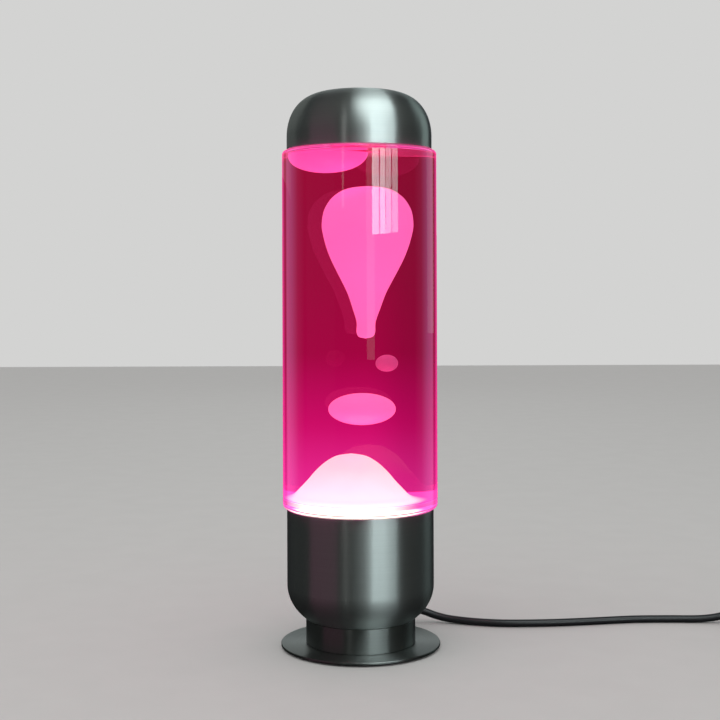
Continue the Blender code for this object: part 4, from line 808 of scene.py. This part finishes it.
def makeSwitch():
    # Two clipped shells with rounded edges; the upper one has a pocket in which the rocker sits
    sx, sy = flex["switchCentre"]
    length, width, height = flex["switchSize"]
    split = flex["switchSplit"]
    bend = np.linspace(0, math.pi / 2, 9)
    soft = switch["soft"]

    def shellRing(inset):
        return ovalRing(length / 2 - inset, width / 2 - inset, switch["power"])

    insets = soft * (1 - np.sin(bend))
    lowLevels = soft * (1 - np.cos(bend))
    rings = [shellRing(0.0) * 0] + [shellRing(i) for i in insets] + [shellRing(0.0), shellRing(0.0004)]
    levels = [0.0, *lowLevels, split - 0.0004, split]
    grid = stackedRings(rings + [rings[-1] * 0], levels + [split])
    lower = skin("switchLower", grid + np.array([sx, sy, 0.0]), pvc)
    finishPiece(lower, "base", "black_pvc", "switch_lower")
    window = ovalRing(*switch["window"], 8.0)
    bottom = split + 0.0003
    rings = [shellRing(0.0) * 0, shellRing(0.0004), shellRing(0.0)] + [shellRing(i) for i in insets[::-1]]
    levels = [bottom, bottom, bottom + 0.0004, *(height - lowLevels[::-1])]
    rings += [shellRing(soft) * 0.75 + window * 0.25, window * 1.06, window, window, window * 0]
    levels += [height, height, height - 0.0003, height - switch["recess"], height - switch["recess"]]
    upper = skin("switchUpper", stackedRings(rings, levels) + np.array([sx, sy, 0.0]), pvc)
    finishPiece(upper, "base", "black_pvc", "switch_upper")
    return [lower, upper, makeRocker(sx, sy)]


def makeRocker(sx, sy):
    # A two-ended button: its top dips in the middle, z = top + rise * (x / half) ** 2
    low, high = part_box("switch_rocker")
    half, deep = (high.x - low.x) / 2, (high.y - low.y) / 2
    angle = np.arange(96) * 2 * math.pi / 96
    reach = (np.abs(np.cos(angle)) ** 6 + np.abs(np.sin(angle)) ** 6) ** (-1 / 6)
    x = half * reach * np.cos(angle)
    up = reach * np.sin(angle)
    top = high.z - 0.0017 + 0.0015 * (x / half) ** 2
    z = np.where(up > 0, top, low.z + 0.0040 * (x / half) ** 2)
    middle = (high.z + low.z) / 2
    z = middle + (z - middle) * np.abs(up) ** 0.5
    bend = np.linspace(0, math.pi / 2, 7)
    soft = 0.0006
    y = np.r_[-deep, -deep + soft * (1 - np.cos(bend)), deep - soft * (1 - np.cos(bend[::-1])), deep]
    shrink = np.r_[0, 1 - soft / half * (1 - np.sin(bend)), 1 - soft / half * (1 - np.sin(bend[::-1])), 0]
    grid = np.stack([
        sx + x[None] * shrink[:, None],
        sy + y[:, None] + 0 * x[None],
        middle + (z[None] - middle) * shrink[:, None]], axis=-1)[::-1]
    return finishPiece(skin("switchRocker", grid, phenolic), "rocker", "black_pvc", "switch_rocker")


plug = {"ribSpacings": 18, "rib": 0.0004, "ribbed": (0.08, 0.36), "edge": 0.0012}


def makePlug():
    # A flat two-pin plug: superellipse sections of power 5, narrow and ribbed at the cord, wide at the pins
    low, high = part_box("plug_body")
    length = high.x - low.x
    middle = (low + high) / 2
    share = np.r_[0, np.linspace(0, 1, 120), 1]
    wide = throughPoints([(0, 0.20), (0.12, 0.235), (0.26, 0.30), (0.40, 0.52), (0.56, 0.86), (0.66, 0.985),
                          (0.80, 1.0), (1.0, 1.0)], 10)
    thick = throughPoints([(0, 0.52), (0.15, 0.60), (0.35, 0.74), (0.60, 0.96), (0.80, 1.0), (1.0, 1.0)], 10)
    halfWide = np.interp(share, wide[:, 0], wide[:, 1]) * (high.y - low.y) / 2
    halfThick = np.interp(share, thick[:, 0], thick[:, 1]) * (high.z - low.z) / 2
    edge = plug["edge"]
    end = np.minimum(share * length / edge, (1 - share) * length / edge)
    closing = np.sqrt(np.clip(1 - (1 - np.clip(end, 0, 1)) ** 2, 0, 1)) * edge - edge
    ribbed = (share > plug["ribbed"][0]) & (share < plug["ribbed"][1])
    ribs = plug["rib"] * np.cos(share * 2 * math.pi * plug["ribSpacings"]) * ribbed
    halfWide = halfWide + closing + ribs
    halfThick = halfThick + closing + ribs
    halfWide[[0, -1]] = 0
    halfThick[[0, -1]] = 0
    angle = np.arange(96) * 2 * math.pi / 96
    reach = (np.abs(np.cos(angle)) ** 5 + np.abs(np.sin(angle)) ** 5) ** -0.2
    grid = np.stack([
        high.x - share[:, None] * length + 0 * angle[None],
        middle.y + halfWide[:, None] * (reach * np.cos(angle))[None],
        middle.z + halfThick[:, None] * (reach * np.sin(angle))[None]], axis=-1)[::-1]
    body = finishPiece(skin("plugBody", grid, pvc), "base", "black_pvc", "plug_body")
    return [body, nodes["plug_pin_line"], nodes["plug_pin_neutral"]]


cord = makeCord(pvc)
finishPiece(cord, "base", "black_pvc", "cord_run", "cord_bend", "cord_coil", "cord_tail")
onCord = [makeGland(), makeTie(), *makeSwitch(), *makePlug()]
print("cord and the pieces on it ready")
makeFoot()
makeHousing()
makeSeat()
makeBulb()
print("base and bulb ready")
makeBottle()
makeWaxPieces()
makeCrown()
makeCap()
print("bottle and cap ready")


studio = {"floor": "#C9C8C6", "backdrop": "#D3D3D2", "floorShade": "#C4C3C1", "fill": 0.75,
          "reflectUp": "#505250", "reflectBack": "#303436",
          "reflectDown": "#121112", "through": "#1C0410"}


def makeFloor():
    # A pale matt tabletop, seen and lit, but left out of what the metal and glass mirror
    mesh = bpy.data.meshes.new("floor")
    mesh.from_pydata([(-3, -2.2, 0), (3, -2.2, 0), (3, 3, 0), (-3, 3, 0)], [], [(0, 1, 2, 3)])
    made, tree, shader = newMaterial("mattTabletop", Roughness=0.8)
    place = addNode(tree, "TexCoord")
    grain = addNode(tree, "TexNoise", {"Vector": place.outputs["Object"], "Scale": 30.0})
    varied(tree, shader, grain.outputs["Fac"], studio["floorShade"], studio["floor"], 0.8, 0.02)
    mesh.materials.append(made)
    floor = bpy.data.objects.new("floor", mesh)
    bpy.context.scene.collection.objects.link(floor)
    floor.visible_glossy = False
    floor.visible_transmission = False


def makeWorld():
    # A pale room for the eye and for soft light, and a dim one in mirror reflections, darkest below
    world = bpy.data.worlds.new("studio")
    bpy.context.scene.world = world
    world.use_nodes = True
    tree = world.node_tree
    tree.nodes.clear()
    path = addNode(tree, "LightPath")
    place = addNode(tree, "TexCoord")
    split = addNode(tree, "SeparateXYZ", {"Vector": place.outputs["Generated"]})
    behind = addNode(tree, "MapRange", {"Value": split.outputs["Y"], "From Min": -0.2, "From Max": 0.7})
    above = addNode(tree, "MapRange", {"Value": split.outputs["Z"], "From Min": -0.12, "From Max": 0.04})
    room = addNode(tree, "Mix", {"Factor": behind.outputs[0]}, data_type="RGBA")
    room.inputs[6].default_value = fromHex(studio["reflectUp"])
    room.inputs[7].default_value = fromHex(studio["reflectBack"])
    mirror = addNode(tree, "Mix", {"Factor": above.outputs[0]}, data_type="RGBA")
    mirror.inputs[6].default_value = fromHex(studio["reflectDown"])
    tree.links.new(room.outputs[2], mirror.inputs[7])
    fill = addNode(tree, "Background", {"Color": (1, 1, 1, 1), "Strength": studio["fill"]})
    plain = addNode(tree, "Background", {"Color": fromHex(studio["backdrop"])})
    mirrored = addNode(tree, "Background", {"Color": mirror.outputs[2]})
    through = addNode(tree, "Background", {"Color": fromHex(studio["through"])})
    shown = fill.outputs[0]
    for ray, shader in (("Is Glossy Ray", mirrored), ("Is Transmission Ray", through),
                        ("Is Camera Ray", plain)):
        mixed = tree.nodes.new("ShaderNodeMixShader")
        tree.links.new(path.outputs[ray], mixed.inputs[0])
        tree.links.new(shown, mixed.inputs[1])
        tree.links.new(shader.outputs[0], mixed.inputs[2])
        shown = mixed.outputs[0]
    out = addNode(tree, "OutputWorld")
    tree.links.new(shown, out.inputs["Surface"])


def lightCard(name, azimuths, elevations, radiance, colour, distance=2.0, mirrorOnly=True):
    # A soft panel aimed at the lamp. Azimuth runs from the -Y side towards +X, in degrees like elevation.
    # Its power is radiance * pi * area, so its brightness doesn't depend on how big it is
    middle, rise = math.radians(sum(azimuths) / 2), math.radians(sum(elevations) / 2)
    panel = bpy.data.lights.new(name, "AREA")
    panel.shape = "RECTANGLE"
    panel.size = 2 * distance * math.tan(math.radians(azimuths[1] - azimuths[0]) / 2)
    panel.size_y = 2 * distance * math.tan(math.radians(elevations[1] - elevations[0]) / 2)
    panel.energy = radiance * math.pi * panel.size * panel.size_y
    panel.color = fromHex(colour)[:3]
    light = bpy.data.objects.new(name, panel)
    target = np.array([0.0, 0.0, 0.20])
    out = np.array([math.sin(middle) * math.cos(rise), -math.cos(middle) * math.cos(rise), math.sin(rise)])
    light.location = target + distance * out
    light.rotation_euler = (math.pi / 2 - rise, 0, middle)
    bpy.context.scene.collection.objects.link(light)
    light.visible_camera = False
    light.visible_diffuse = not mirrorOnly
    light.visible_glossy = mirrorOnly
    light.visible_transmission = False
    light.visible_volume_scatter = False


def makeLights():
    for k, (azimuths, radiance) in enumerate((
            ((18.5, 28.5), 9.5), ((30, 38), 10.5), ((39, 47), 7.5), ((48.5, 57.5), 6.0)), 1):
        lightCard(f"windowPane{k}", azimuths, (5.9, 16), radiance, "#E4F2F4")
    lightCard("windowTop", (12, 60), (42, 75), 3.0, "#E8F4F4")
    lightCard("windowGlow", (10, 22), (-4, 40), 0.9, "#E4F2F2")
    lightCard("thinLine", (-25, -22), (8, 34), 1.5, "#F0EEEC")
    lightCard("warmGlow", (-84, -36), (-30, 20), 0.10, "#E070A8")
    lightCard("sideRight", (118, 142), (-2, 40), 0.42, "#D0E6E2")
    lightCard("backMiddle", (166, 192), (4, 50), 0.6, "#DCE4E4")
    lightCard("sideLeft", (-178, -120), (8, 40), 0.16, "#D8DCD4")
    lightCard("key", (-60, 0), (35, 75), 0.9, "#FFFFFF", mirrorOnly=False)


makeFloor()
makeWorld()
makeLights()
print("studio ready")

bpy.context.view_layer.update()
